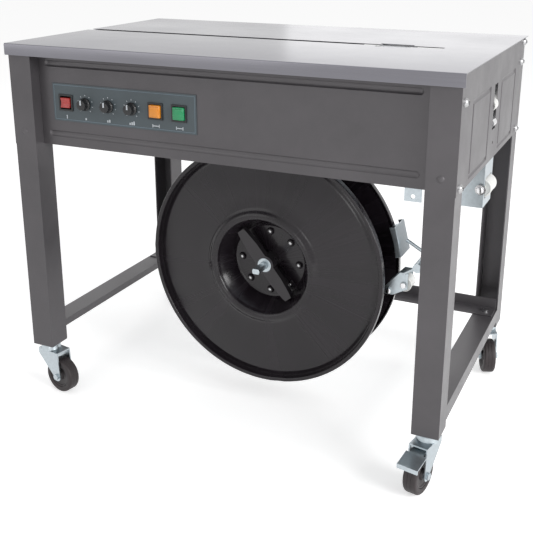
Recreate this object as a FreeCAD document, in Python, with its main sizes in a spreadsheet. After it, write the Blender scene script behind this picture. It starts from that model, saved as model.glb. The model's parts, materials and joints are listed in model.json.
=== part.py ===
import FreeCAD, Part
import os
import Sketcher
from FreeCAD import Placement, Rotation, Vector

# Semi-automatic strapping table. Origin on the floor under the middle of the table.
# +X is the operator's right, +Y the back, +Z up. Lengths are in millimetres.

SIZES = {
    # Table top
    "table_length": 900, "table_depth": 565, "table_height": 750, "top_gauge": 1.5,
    "skirt_height": 22.5, "slot_width": 18, "slot_end_inset": 106, "window_length": 66,
    "window_width": 46, "chute_depth": 14, "chute_gauge": 1, "chute_lip": 10,
    # Frame and casing
    "casing_inset": 5, "panel_gauge": 1.2, "leg_width": 50, "leg_depth": 50, "leg_gauge": 2.5,
    "leg_setback": 5, "leg_top_drop": 30, "foot_gauge": 4, "casing_height": 200,
    "front_recess": 25, "panel_hem": 12, "lid_seat_gap": 0.3, "rear_panel_drop": 34,
    "bead_radius": 8, "bead_sink": 3, "bead_end_inset": 22, "bead_top_drop": 38,
    "bead_bottom_rise": 24, "rail_width": 46, "rail_top": 150, "rail_gauge": 2.5,
    "rail_skirt": 30, "rail_lip": 15, "cross_width": 45, "cross_rise": 25,
    "cross_end_inset": 4, "tray_lift": 22, "tray_gauge": 2, "tray_hem": 20, "fit_gap": 0.3,
    "tab_width": 30, "tab_drop": 28, "tab_hole_radius": 4, "tab_corner_inset": 30,
    "tab_hole_rise": 9, "cutter_overrun": 2,
    # Pressed rectangles of the side panels
    "loop_radius": 6, "loop_sink": 2.2, "loop_bottom_rise": 14, "loop_top_drop": 60,
    "loop_near": 52, "loop_far": 190,
    # Lid hinge and screws
    "pivot_drop": 11.5, "pivot_inset": 14.5, "lug_gauge": 3, "lug_radius": 8,
    "pivot_radius": 4, "pivot_play": 0.08, "head_radius": 6.5, "head_height": 3.6,
    "screw_radius": 3, "screw_length": 12, "screw_top_drop": 50, "screw_bottom_rise": 9,
    "washer_radius": 8, "washer_gauge": 1,
    # Strap inlet in the right side panel
    "inlet_width": 26, "inlet_bottom_rise": 58, "inlet_height": 84, "inlet_gauge": 2,
    "inlet_roller_radius": 12.5, "inlet_roller_rise": 103, "inlet_roller_inset": 9,
    "inlet_pin_radius": 4, "inlet_bar_radius": 8, "inlet_bar_rise": 69, "inlet_bar_inset": 5,
    "inlet_cheek_depth": 30, "peep_radius": 3, "peep_rise": 32,
    # Control plate, switches and knobs
    "plate_width": 322, "plate_height": 74, "plate_gauge": 1.5, "plate_rise": 88,
    "plate_inset": 192.8, "rocker_offset": 130, "knob_offset": 85, "knob_pitch": 53,
    "amber_offset": 74, "green_offset": 125, "switch_size": 32, "switch_gauge": 2.4,
    "switch_body": 28, "switch_depth": 24, "switch_wall": 1.2, "rocker_width": 22,
    "rocker_radius": 15, "rocker_sink": 8, "rocker_dip": 2.4, "trunnion_radius": 2,
    "trunnion_play": 0.06, "button_size": 24.4, "button_stand": 5.5, "button_length": 17,
    "button_corner": 2, "knob_radius": 11, "knob_skirt": 12.5, "knob_height": 15,
    "knob_skirt_height": 3, "knob_lift": 1, "pointer_width": 2, "pointer_gauge": 0.8,
    "pot_shaft_radius": 3, "pot_shaft_length": 22, "pot_radius": 9, "pot_depth": 10,
    "pot_play": 0.08, "board_length": 200, "board_height": 56, "board_gauge": 1.6,
    "board_setback": 34, "chip_size": 14, "chip_height": 4, "relay_size": 18,
    "spacer_radius": 3,
    # Reel
    "reel_floor_gap": 55, "reel_headroom": 9, "reel_front": 125, "reel_gap": 120,
    "reel_gauge": 3, "rim_depth": 11, "rim_width": 9, "groove_depth": 4, "cone_depth": 9,
    "ring_inner": 102, "ring_outer": 112, "ring_foot": 124, "ring_stand": 8,
    "bowl_mouth": 98, "bowl_foot": 80, "bowl_depth": 42, "drum_wall": 3, "drum_gap": 0.6,
    "shaft_radius": 10, "shaft_play": 0.08, "shaft_stand": 30, "shaft_nose_radius": 8,
    "shaft_nose_length": 62, "shaft_flat": 5.5, "hub_radius": 24, "hub_length": 34,
    "handle_length": 170, "handle_width": 28, "handle_height": 14, "handle_stand": 10,
    "handle_waist": 6, "handle_hub_radius": 20, "boss_radius": 6, "boss_height": 5,
    "boss_circle": 64, "collar_radius": 16, "collar_length": 6, "web_width": 84,
    "web_gauge": 4, "web_flange": 26, "web_foot": 36, "web_tail": 48, "web_gap": 14,
    # Reel brake and dancer
    "brake_inset": 110, "brake_gap": 56, "brake_rise": 36, "brake_pin_radius": 5,
    "brake_play": 0.06, "brake_tube_radius": 9, "brake_post_width": 36,
    "brake_post_gauge": 5, "brake_post_gap": 14, "brake_post_tail": 18, "brake_foot": 34,
    "lever_rod_radius": 3.5, "shoe_length": 62, "shoe_width": 60, "shoe_depth": 21,
    "shoe_gauge": 2.5, "lining_gauge": 8, "lining_width": 14, "lining_gap": 0.3,
    "shoe_tilt_rise": 62, "link_gauge": 3, "link_gap": 34, "link_width": 16, "link_rise": 24,
    "dancer_gap": 29, "dancer_drop": 5, "dancer_radius": 15, "dancer_pin_radius": 4,
    "stop_drop": 21, "stop_radius": 6,
    # Guide roller under the right side panel
    "guide_inset": 8, "guide_hang": 51, "guide_radius": 18, "guide_width": 50,
    "guide_pin_radius": 5, "guide_play": 0.06, "guide_span": 70, "guide_gauge": 3,
    "guide_left": 35, "guide_right": 6, "guide_drop": 36, "guide_window": 40,
    "guide_foot": 3,
    # Casters
    "caster_height": 107, "wheel_radius": 37.5, "wheel_width": 26, "tyre_depth": 13,
    "tyre_round": 5, "hub_recess": 3, "hub_boss_radius": 10, "axle_radius": 4,
    "axle_play": 0.08, "caster_trail": 32, "stem_radius": 6, "stem_rise": 34,
    "stem_play": 0.08, "race_radius": 22, "race_gauge": 4, "race_gap": 0.4, "cup_height": 9,
    "crown_gauge": 3, "fork_gauge": 2.5, "fork_side_gap": 2.6,
    "fork_back": 20, "fork_front": 38, "fork_tip_radius": 10.5, "axle_head_radius": 6.5,
    "axle_head_height": 4, "stem_head_radius": 9, "stem_head_height": 3, "nut_height": 8,
    "nut_radius": 10, "pedal_start": 23, "pedal_end": 76, "pedal_width": 40,
    "pedal_neck": 26, "pedal_neck_end": 46, "pedal_gauge": 2.5, "pedal_pivot_rise": 84,
    "pedal_drop": 13, "pedal_lip": 6, "pedal_pin_radius": 2.5,
    # Drive
    "motor_reach": 142, "motor_radius": 52, "motor_length": 150, "motor_front": 34,
    "motor_height": 66, "motor_bell_radius": 40, "motor_bell_length": 12, "motor_foot": 90,
    "motor_foot_gauge": 5, "motor_shaft_radius": 7, "motor_shaft_length": 44,
    "pulley_width": 16, "motor_pulley_radius": 22, "worm_pulley_radius": 44,
    "pulley_groove": 4, "pulley_gap": 10, "belt_gauge": 6, "belt_width": 9, "belt_gap": 0.4,
    "hub_play": 0.06,
    "gearbox_reach": 108, "gearbox_length": 66, "gearbox_width": 80, "gearbox_height": 84,
    "gearbox_foot": 6, "worm_shaft_radius": 6, "cam_height": 34, "cam_shaft_radius": 8,
    "cam_radius": 20, "cam_offset": 4, "cam_width": 12, "cam_play": 0.08,
    # Sealing head
    "head_inset": 200, "head_length": 116, "head_width": 70, "head_wall": 8,
    "head_top_drop": 22, "head_block_height": 82, "slider_length": 16, "slider_width": 20,
    "slider_pitch": 24, "slider_gap": 0.3, "follower_gap": 1, "anvil_length": 50,
    "anvil_width": 64, "anvil_gauge": 5.5, "anvil_drop": 1.3, "tongue_reach": 3,
    "tongue_gauge": 2, "rail_bar_width": 9, "rail_foot_length": 21, "rail_foot_inset": 3,
    "blade_length": 62, "blade_width": 18, "blade_gauge": 1.5, "blade_gap": 0.6,
    "heater_y": 50, "heater_post_radius": 5, "heater_hub_radius": 9, "heater_hub_height": 10,
    "heater_play": 0.06, "feed_arm_drop": 6,
    # Feed rollers
    "feed_inset": 84, "feed_drop": 58, "feed_radius": 25, "pinch_radius": 13, "nip_gap": 0.6,
    "roller_width": 22, "feed_pin_radius": 6, "pinch_pin_radius": 4, "feed_play": 0.06,
    "feed_plate_gauge": 6, "feed_plate_length": 96, "feed_plate_height": 96,
    # Transformer and mains inlet
    "transformer_inset": 195, "transformer_y": 70, "core_length": 84, "core_width": 46,
    "core_height": 70, "core_foot": 3, "coil_length": 52, "coil_width": 74,
    "coil_height": 44, "socket_inset": 150, "socket_rise": 52, "socket_width": 48,
    "socket_height": 28, "socket_depth": 26, "socket_gauge": 2.5, "socket_mouth_width": 24,
    "socket_mouth_height": 16, "socket_mouth_depth": 18, "socket_pin_width": 4,
    "socket_pin_gauge": 2, "socket_pin_pitch": 7,
}

document = FreeCAD.newDocument("strapping_table")
sheet = document.addObject("Spreadsheet::Sheet", "dims")
for row, (alias, number) in enumerate(SIZES.items(), start=1):
    sheet.set(f"A{row}", alias)
    sheet.set(f"B{row}", str(number))
    sheet.setAlias(f"B{row}", alias)
document.recompute()


class Size:
    """A size with its worth in millimetres and the formula that the document keeps."""

    def __init__(self, worth, formula):
        self.worth = worth
        self.formula = formula

    def combine(self, sign, other, swapped=False):
        left, right = (size_of(other), self) if swapped else (self, size_of(other))
        worth = {
            "+": lambda: left.worth + right.worth,
            "-": lambda: left.worth - right.worth,
            "*": lambda: left.worth * right.worth,
            "/": lambda: left.worth / right.worth,
        }[sign]()
        return Size(worth, f"({left.formula} {sign} {right.formula})")

    def __add__(self, other):
        return self.combine("+", other)

    def __radd__(self, other):
        return self.combine("+", other, swapped=True)

    def __sub__(self, other):
        return self.combine("-", other)

    def __rsub__(self, other):
        return self.combine("-", other, swapped=True)

    def __mul__(self, other):
        return self.combine("*", other)

    def __rmul__(self, other):
        return self.combine("*", other, swapped=True)

    def __truediv__(self, other):
        return self.combine("/", other)

    def __neg__(self):
        return Size(-self.worth, f"(-1 * {self.formula})")

    def root(self):
        return Size(self.worth ** 0.5, f"sqrt({self.formula})")


def size_of(value):
    return value if isinstance(value, Size) else Size(float(value), repr(value))


class Sheet:
    """Gives each named size of the spreadsheet as a Size."""

    def __getattr__(self, alias):
        return Size(float(sheet.get(alias)), f"dims.{alias}")


d = Sheet()
ACROSS = Rotation(Vector(0, 1, 0), 90)
BACKWARD = Rotation(Vector(1, 0, 0), -90)
TURNS = {"x": ACROSS, "y": BACKWARD, "z": Rotation()}
nodes = []


def bind(thing, path, size):
    size = size_of(size)
    if "dims." in size.formula:
        thing.setExpression(path, size.formula)


def place(thing, x=0, y=0, z=0, turn=None):
    point = [size_of(value) for value in (x, y, z)]
    thing.Placement = Placement(Vector(*[value.worth for value in point]), turn or Rotation())
    for axis, value in zip("xyz", point):
        bind(thing, f"Placement.Base.{axis}", value)
    return thing


def box(x, y, z, length, width, height):
    thing = document.addObject("Part::Box", "Box")
    for name, size in (("Length", length), ("Width", width), ("Height", height)):
        setattr(thing, name, size_of(size).worth)
        bind(thing, name, size)
    return place(thing, x, y, z)


def centred(x, y, z, length, width, height):
    return box(x - length / 2, y - width / 2, z, length, width, height)


def rod(axis, x, y, z, radius, length):
    thing = document.addObject("Part::Cylinder", "Cylinder")
    for name, size in (("Radius", radius), ("Height", length)):
        setattr(thing, name, size_of(size).worth)
        bind(thing, name, size)
    return place(thing, x, y, z, TURNS[axis])


def cone(axis, x, y, z, low, high, length):
    thing = document.addObject("Part::Cone", "Cone")
    for name, size in (("Radius1", low), ("Radius2", high), ("Height", length)):
        setattr(thing, name, size_of(size).worth)
        bind(thing, name, size)
    return place(thing, x, y, z, TURNS[axis])


def ball(x, y, z, radius):
    thing = document.addObject("Part::Sphere", "Sphere")
    thing.Radius = radius.worth
    bind(thing, "Radius", radius)
    return place(thing, x, y, z)


def cut(base, *tools):
    for tool in tools:
        thing = document.addObject("Part::Cut", "Cut")
        thing.Base = base
        thing.Tool = tool
        base = thing
    return base


def fuse(*parts):
    thing = document.addObject("Part::MultiFuse", "Fusion")
    thing.Shapes = list(parts)
    thing.Refine = True
    return thing


def common(first, second):
    thing = document.addObject("Part::Common", "Common")
    thing.Base = first
    thing.Tool = second
    return thing


def group(*parts):
    thing = document.addObject("Part::Compound", "Group")
    thing.Links = list(parts)
    return thing


def drawing_on(body, role, offset=0):
    drawing = body.newObject("Sketcher::SketchObject", "Sketch")
    plane = [item for item in body.Origin.OriginFeatures if item.Role == role][0]
    drawing.AttachmentSupport = (plane, [""])
    drawing.MapMode = "FlatFace"
    drawing.AttachmentOffset = Placement(Vector(0, 0, size_of(offset).worth), Rotation())
    bind(drawing, "AttachmentOffset.Base.z", offset)
    return drawing


def hold(drawing, index, end, x, y):
    """Keeps one end of a drawn line, or the middle of a circle, at a place from the origin."""
    for kind, size in (("DistanceX", size_of(x)), ("DistanceY", size_of(y))):
        rule = Sketcher.Constraint(kind, -1, 1, index, end, size.worth)
        bind(drawing, f"Constraints[{drawing.addConstraint(rule)}]", size)


def outline(drawing, points):
    flat = [Vector(size_of(x).worth, size_of(y).worth, 0) for x, y in points]
    ends = zip(flat, flat[1:] + flat[:1])
    lines = drawing.addGeometry([Part.LineSegment(a, b) for a, b in ends], False)
    for line, after in zip(lines, lines[1:] + lines[:1]):
        drawing.addConstraint(Sketcher.Constraint("Coincident", line, 2, after, 1))
    for line, (x, y) in zip(lines, points):
        hold(drawing, line, 1, x, y)


def padded(role, points, length, offset=0, reverse=False):
    """A profile on one of the body's own planes, pushed out by a length."""
    body = document.addObject("PartDesign::Body", "Body")
    drawing = drawing_on(body, role, offset)
    outline(drawing, points)
    pad = body.newObject("PartDesign::Pad", "Pad")
    pad.Profile = drawing
    pad.Reversed = reverse
    pad.Length = length.worth
    bind(pad, "Length", length)
    return body


def turned(points):
    """A profile of radius and height turned once round the body's Z axis."""
    body = document.addObject("PartDesign::Body", "Body")
    drawing = drawing_on(body, "XZ_Plane")
    outline(drawing, points)
    turn = body.newObject("PartDesign::Revolution", "Revolution")
    turn.Profile = drawing
    turn.ReferenceAxis = (drawing, ["V_Axis"])
    turn.Angle = 360
    return body


def node(name, *parts):
    thing = parts[0] if len(parts) == 1 else group(*parts)
    thing.Label = name
    nodes.append(thing)
    return thing


# Places that several pieces share
top = d.table_height
under_top = top - d.top_gauge
body_bottom = top - d.casing_height
front_face = -d.table_depth / 2
leg_front = front_face + d.leg_setback
right_end = d.table_length / 2
leg_outer = right_end - d.casing_inset - d.panel_gauge
panel_outer = leg_outer + d.panel_gauge
leg_inner = leg_outer - d.leg_width
leg_back = leg_front + d.leg_depth
lid_seat = under_top - d.lid_seat_gap
rear_leg_top = top - d.leg_top_drop
leg_middle = leg_front + d.leg_depth / 2
leg_middle_back = -leg_middle
screw_levels = (top - d.screw_top_drop, body_bottom + d.screw_bottom_rise)
panel_front = leg_front + d.front_recess
tray_floor = body_bottom + d.tray_lift
tray_top = tray_floor + d.tray_gauge
pivot_y = d.table_depth / 2 - d.pivot_inset
pivot_z = top - d.pivot_drop
head_top = top - d.head_top_drop
over = d.cutter_overrun
head_x = right_end - d.head_inset
gearbox_x = head_x - d.gearbox_reach
motor_x = gearbox_x - d.motor_reach
feed_x = right_end - d.feed_inset
guide_x = panel_outer - d.guide_inset
socket_x = right_end - d.socket_inset
transformer_x = d.transformer_inset - right_end
guide_z = body_bottom - d.guide_hang
plate_x = d.plate_inset - leg_inner

# The reel fills the height between the floor and the tray, left of its brake
reel_radius = (tray_floor - d.reel_headroom - d.reel_floor_gap) / 2
reel_z = d.reel_floor_gap + reel_radius
brake_x = right_end - d.brake_inset
stop_x = brake_x - d.brake_gap
dancer_x = stop_x + d.dancer_gap
reel_x = stop_x - reel_radius
brake_z = reel_z + d.brake_rise
dancer_z = reel_z - d.dancer_drop
stop_z = reel_z - d.stop_drop


def capsule(start, end, radius):
    """A round bar with ball ends between two places on a line along X, Y or Z."""
    axis = [i for i in range(3) if start[i] is not end[i]][0]
    bar = rod("xyz"[axis], *start, radius, end[axis] - start[axis])
    return fuse(bar, ball(*start, radius), ball(*end, radius))


# Table top: one folded sheet, open slot from the left edge, window over the sealing head
def table_top():
    plate = centred(0, 0, under_top, d.table_length, d.table_depth, d.top_gauge)
    skirt = box(-right_end, front_face, top - d.skirt_height,
                d.table_length, d.top_gauge, d.skirt_height)
    slot = box(-right_end - over, -d.slot_width / 2, under_top - over,
               d.table_length - d.slot_end_inset + over, d.slot_width, d.top_gauge + 2 * over)
    window = centred(head_x, 0, under_top - over,
                     d.window_length, d.window_width, d.top_gauge + 2 * over)
    lugs = []
    for side in (-1, 1):
        inner = side * (leg_outer - d.fit_gap - d.lug_gauge / 2) - d.lug_gauge / 2
        lug = fuse(
            rod("x", inner, pivot_y, pivot_z, d.lug_radius, d.lug_gauge),
            box(inner, pivot_y - d.lug_radius, pivot_z,
                d.lug_gauge, 2 * d.lug_radius, under_top - pivot_z))
        bore = rod("x", inner - over, pivot_y, pivot_z,
                   d.pivot_radius + d.pivot_play, d.lug_gauge + 2 * over)
        lugs.append(cut(lug, bore))
    node("table_top", fuse(cut(fuse(plate, skirt), slot, window), *lugs))


def strap_chute():
    length = right_end + head_x - d.window_length
    left = d.chute_lip - right_end
    wide = d.slot_width + 2 * d.chute_gauge
    shell = centred(left + length / 2 - d.chute_lip / 2, 0, under_top - d.chute_depth,
                    length - d.chute_lip, wide, d.chute_depth)
    lips = centred(left + length / 2 - d.chute_lip / 2, 0, under_top - d.chute_gauge,
                   length - d.chute_lip, wide + 2 * d.chute_lip, d.chute_gauge)
    hollow = box(left - over, -d.slot_width / 2, under_top - d.chute_depth + d.chute_gauge,
                 length + 2 * over, d.slot_width, d.chute_depth)
    node("strap_chute", cut(fuse(shell, lips), hollow))


# Legs: folded channels, open towards the middle of the machine, with a welded foot plate
def leg(side, end, high):
    x = side * (leg_outer + leg_inner) / 2
    y = end * leg_middle_back
    height = high - d.caster_height
    shell = centred(x, y, d.caster_height, d.leg_width, d.leg_depth, height)
    hollow = centred(x, y - end * d.leg_gauge, d.caster_height + d.foot_gauge,
                     d.leg_width - 2 * d.leg_gauge, d.leg_depth, height)
    stud = rod("z", x, y, d.caster_height - over, d.stem_radius, d.foot_gauge + 2 * over)
    holes = [rod("x", x - d.leg_width, y, level, d.screw_radius, 2 * d.leg_width)
             for level in screw_levels]
    outside = centred(x + side * d.leg_width, y, d.caster_height, 2 * d.leg_width,
                      d.leg_depth, height)
    return cut(shell, hollow, stud, *[common(hole, outside) for hole in holes])


def legs():
    node("front_legs", *[leg(side, -1, lid_seat) for side in (-1, 1)])
    node("rear_legs", *[leg(side, 1, rear_leg_top) for side in (-1, 1)])


# Lower rails: side rails are channels turned open side down, and the rear rail is an
# angle that lies on them in front of the rear legs
def lower_rails():
    level = d.rail_top
    sides = []
    for side in (-1, 1):
        outer = side * leg_outer
        inner = outer - side * d.rail_width
        wall = side * d.rail_gauge
        points = [(outer, level), (outer, level - d.rail_skirt),
                  (outer - wall, level - d.rail_skirt), (outer - wall, level - d.rail_gauge),
                  (inner + wall, level - d.rail_gauge), (inner + wall, level - d.rail_lip),
                  (inner, level - d.rail_lip), (inner, level)]
        rail = padded("XZ_Plane", points, -2 * leg_back, offset=leg_back)
        sides.append(cut(rail, rail_bolt_shank(side)))
    reach = leg_outer - d.cross_end_inset
    back = -leg_back
    points = [(back - d.cross_width, level), (back, level), (back, level + d.cross_rise),
              (back - d.rail_gauge, level + d.cross_rise),
              (back - d.rail_gauge, level + d.rail_gauge),
              (back - d.cross_width, level + d.rail_gauge)]
    cross = padded("YZ_Plane", points, 2 * reach, offset=-reach)
    shanks = [rail_bolt_shank(side) for side in (-1, 1)]
    node("lower_rails", *sides, cut(cross, *shanks))


def rail_bolt_shank(side):
    x = side * (leg_outer - d.rail_width / 2)
    y = -leg_back - d.cross_width / 2
    length = d.screw_length + 2 * d.rail_gauge
    return rod("z", x, y, d.rail_top + d.rail_gauge - length, d.screw_radius, length)


def hemmed_panel(x, z, width, height, face, inward):
    """A sheet facing along Y, with its long edges turned inward."""
    sheet_y = face if inward > 0 else face - d.panel_gauge
    hem_y = face if inward > 0 else face - d.panel_hem
    sheet_metal = box(x, sheet_y, z, width, d.panel_gauge, height)
    hems = [box(x, hem_y, level, width, d.panel_hem, d.panel_gauge)
            for level in (z, z + height - d.panel_gauge)]
    return fuse(sheet_metal, *hems)


# Front panel: two long pressed beads, cut-outs for the switches
def front_panel():
    x = -leg_inner + d.fit_gap
    width = 2 * leg_inner - 2 * d.fit_gap
    height = lid_seat - body_bottom
    panel = hemmed_panel(x, body_bottom, width, height, panel_front, 1)
    depth = panel_front - d.bead_radius + d.bead_sink
    for level in (top - d.bead_top_drop, body_bottom + d.bead_bottom_rise):
        left = (x + d.bead_end_inset, depth, level)
        right = (x + width - d.bead_end_inset, depth, level)
        ridge = capsule(left, right, d.bead_radius + d.panel_gauge)
        behind = box(x, panel_front, level - 2 * d.bead_radius,
                     width, 2 * d.bead_radius, 4 * d.bead_radius)
        panel = cut(fuse(panel, common(ridge, behind)), capsule(left, right, d.bead_radius))
    node("front_panel", cut(panel, *control_holes(panel_front, d.panel_gauge)))


plate_z = body_bottom + d.plate_rise
knob_places = [plate_x - d.knob_offset + d.knob_pitch * i for i in range(3)]
rocker_x = plate_x - d.rocker_offset
switch_places = [rocker_x, plate_x + d.amber_offset, plate_x + d.green_offset]


def control_holes(face, gauge):
    deep = gauge + 2 * over
    squares = [centred(x, face + gauge / 2, plate_z - d.switch_body / 2, d.switch_body,
                       deep, d.switch_body) for x in switch_places]
    rounds = [rod("y", x, face - over, plate_z, d.pot_shaft_radius + d.fit_gap, deep)
              for x in knob_places]
    return squares + rounds


def rear_panel():
    x = -leg_inner + d.fit_gap
    width = 2 * leg_inner - 2 * d.fit_gap
    height = top - d.rear_panel_drop - body_bottom
    panel = hemmed_panel(x, body_bottom, width, height, -panel_front, -1)
    mouth = centred(socket_x, -panel_front, body_bottom + d.socket_rise,
                    d.socket_width - 4 * d.socket_gauge, 2 * d.panel_hem, d.socket_height)
    node("rear_panel", cut(panel, mouth))


# Side panels: outside the legs, rear top corner rounded about the lid's pivot
def loop_bars(face, near, far, radius):
    low = body_bottom + d.loop_bottom_rise
    high = top - d.loop_top_drop
    bars = [capsule((face, near, level), (face, far, level), radius) for level in (low, high)]
    posts = [capsule((face, place_y, low), (face, place_y, high), radius)
             for place_y in (near, far)]
    return fuse(*bars, *posts)


def side_panel(side, name):
    rear = -leg_front
    corner = rear - pivot_y
    high = pivot_z + corner
    thick = d.panel_gauge
    inside = side * (leg_outer + thick / 2) - thick / 2
    wall = fuse(
        box(inside, leg_front, body_bottom, thick, pivot_y - leg_front,
            high - body_bottom),
        box(inside, pivot_y, body_bottom, thick, corner, pivot_z - body_bottom),
        rod("x", inside, pivot_y, pivot_z, corner, thick))
    hem_x = side * (leg_outer - d.panel_hem / 2) - d.panel_hem / 2
    hem = centred(hem_x + d.panel_hem / 2, 0, body_bottom, d.panel_hem,
                  -2 * leg_back - 2 * d.fit_gap, thick)
    wall = fuse(wall, hem)
    mid = side * (panel_outer + d.loop_radius - d.loop_sink)
    backing_x = side * (panel_outer - d.loop_radius) - d.loop_radius
    for near, far in ((-d.loop_far, -d.loop_near), (d.loop_near, d.loop_far)):
        backing = box(backing_x, leg_front, body_bottom, 2 * d.loop_radius,
                      -2 * leg_front, top - body_bottom)
        ridge = common(loop_bars(mid, near, far, d.loop_radius + thick), backing)
        wall = cut(fuse(wall, ridge), loop_bars(mid, near, far, d.loop_radius))
    tools = [rod("x", inside - over, y, z, radius, thick + 2 * over)
             for y, z, radius in side_holes(side)]
    if side > 0:
        tools.append(centred(inside + thick / 2, 0, inlet_bottom, thick + 2 * over,
                             d.inlet_width, d.inlet_height))
        tools.append(rod("x", inside - over, 0, body_bottom + d.peep_rise,
                         d.peep_radius, thick + 2 * over))
    node(name, cut(wall, *tools))


inlet_bottom = body_bottom + d.inlet_bottom_rise


def side_holes(side):
    screws = [(end * leg_middle, level, d.screw_radius)
              for end in (-1, 1) for level in screw_levels]
    return screws + [(pivot_y, pivot_z, d.pivot_radius)]


# Base tray: carries the drive, with turned-up edges and a hanging lug at the front right
def base_tray():
    long_x = panel_outer - d.loop_sink - d.panel_gauge - d.fit_gap
    long_y = -panel_front - d.bead_sink - d.panel_gauge - d.fit_gap
    short_x = leg_inner - d.fit_gap
    short_y = -leg_back - d.fit_gap
    floor = fuse(
        centred(0, 0, tray_floor, 2 * long_x, 2 * short_y, d.tray_gauge),
        centred(0, 0, tray_floor, 2 * short_x, 2 * long_y, d.tray_gauge))
    edges = []
    for side in (-1, 1):
        edge_x = side * (long_x - d.tray_gauge / 2)
        edge_y = side * (long_y - d.tray_gauge / 2)
        edges.append(centred(edge_x, 0, tray_floor, d.tray_gauge, 2 * short_y, d.tray_hem))
        edges.append(centred(0, edge_y, tray_floor, 2 * short_x, d.tray_gauge, d.tray_hem))
    tab_x = leg_inner - d.tab_corner_inset
    tab_low = body_bottom - d.tab_drop
    tab_y = -long_y + d.tray_gauge / 2 + d.panel_hem
    tab = centred(tab_x, tab_y, tab_low, d.tab_width, d.tray_gauge, tray_top - tab_low)
    hole = rod("y", tab_x, tab_y - d.tray_gauge / 2 - over, tab_low + d.tab_hole_rise,
               d.tab_hole_radius, d.tray_gauge + 2 * over)
    node("base_tray", cut(fuse(floor, *edges, tab), hole))


# Screws: one node of alike dome-head screws, with the two shouldered lid pivots
def dome_screw(side, y, z, radius, length):
    outer = side * panel_outer
    tip = outer - side * length
    shank = rod("x", (outer + tip) / 2 - length / 2, y, z, radius, length)
    base = (outer + side * d.washer_gauge / 2) - d.washer_gauge / 2
    washer = rod("x", base, y, z, d.head_radius, d.washer_gauge)
    rise = d.head_height - d.washer_gauge
    crown = (d.head_radius * d.head_radius + rise * rise) / (2 * rise)
    middle = side * (panel_outer + d.head_height) - side * crown
    shoulder = side * (panel_outer + d.washer_gauge)
    cap = common(
        ball(middle, y, z, crown),
        centred(shoulder + side * rise / 2, y, z - d.head_radius, rise,
                2 * d.head_radius, 2 * d.head_radius))
    return fuse(shank, washer, cap)


def frame_screws():
    screws = []
    for side in (-1, 1):
        for y, z, radius in side_holes(side):
            reach = d.screw_length if z is not pivot_z else d.screw_length / 2
            screws.append(dome_screw(side, y, z, radius, reach))
        head = rod("z", side * (leg_outer - d.rail_width / 2), -leg_back - d.cross_width / 2,
                   d.rail_top + d.rail_gauge, d.washer_radius, d.head_height)
        screws.append(fuse(head, rail_bolt_shank(side)))
    node("frame_screws", *screws)


# Control plate and the switches in it
plate_front = panel_front - d.plate_gauge


def control_plate():
    plate = centred(plate_x, panel_front - d.plate_gauge / 2, plate_z - d.plate_height / 2,
                    d.plate_width, d.plate_gauge, d.plate_height)
    node("control_plate", cut(plate, *control_holes(plate_front, d.plate_gauge)))


def switch_bezels():
    inner = d.switch_body - 2 * d.switch_wall
    frames = []
    for x in switch_places:
        face = centred(x, plate_front - d.switch_gauge / 2, plate_z - d.switch_size / 2,
                       d.switch_size, d.switch_gauge, d.switch_size)
        barrel = centred(x, plate_front + d.switch_depth / 2, plate_z - d.switch_body / 2,
                         d.switch_body, d.switch_depth, d.switch_body)
        well = centred(x, plate_front - d.switch_gauge + d.switch_depth / 2,
                       plate_z - inner / 2, inner, d.switch_depth, inner)
        frame = cut(fuse(face, barrel), well)
        if x is rocker_x:
            frame = cut(frame, trunnion(d.trunnion_radius + d.trunnion_play, d.switch_body))
        frames.append(frame)
    node("switch_bezels", *frames)


def trunnion(radius, length):
    return rod("x", rocker_x - length / 2, plate_front + d.rocker_sink, plate_z, radius,
               length)


def power_rocker():
    x = rocker_x
    depth = plate_front + d.rocker_sink
    drum = rod("x", x - d.rocker_width / 2, depth, plate_z, d.rocker_radius, d.rocker_width)
    height = d.switch_body - 2 * d.switch_wall - 2 * d.rocker_dip
    trim = centred(x, depth - d.rocker_radius / 2, plate_z - height / 2, d.rocker_width,
                   d.rocker_radius, height)
    dish = rod("x", x - d.rocker_width, depth - 2 * d.rocker_radius + d.rocker_dip, plate_z,
               d.rocker_radius, 2 * d.rocker_width)
    pin = trunnion(d.trunnion_radius, d.switch_body - 2 * d.fit_gap)
    node("power_rocker", fuse(cut(common(drum, trim), dish), pin))


def button(name, x):
    half = d.button_size / 2
    corner = d.button_corner
    points = [(-half, -half + corner), (-half + corner, -half), (half - corner, -half),
              (half, -half + corner), (half, half - corner), (half - corner, half),
              (-half + corner, half), (-half, half - corner)]
    cap = padded("XZ_Plane", points, d.button_length, reverse=True)
    place(cap, x, plate_front - d.switch_gauge - d.button_stand, plate_z)
    node(name, cap)


def dial_knob(name, x):
    low = d.knob_lift
    points = [(0, low), (d.knob_skirt, low), (d.knob_skirt, low + d.knob_skirt_height),
              (d.knob_radius, low + 2 * d.knob_skirt_height),
              (d.knob_radius - d.pointer_gauge, low + d.knob_height),
              (0, low + d.knob_height)]
    grip = turned(points)
    slit = centred(0, d.knob_radius / 2, low + d.knob_height - d.pointer_gauge,
                   d.pointer_width, d.knob_radius, 2 * d.pointer_gauge)
    shaft = rod("z", 0, 0, -d.pot_shaft_length, d.pot_shaft_radius,
                d.pot_shaft_length + low)
    mark = common(centred(0, d.knob_radius / 2, low + d.knob_height - d.pointer_gauge,
                          d.pointer_width, d.knob_radius - d.pointer_width,
                          d.pointer_gauge),
                  centred(0, 0, low, d.knob_skirt, 2 * d.knob_radius, d.knob_height))
    knob = group(fuse(cut(grip, slit), shaft), mark)
    place(knob, x, plate_front, plate_z, Rotation(Vector(1, 0, 0), 90))
    node(name, knob)


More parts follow.
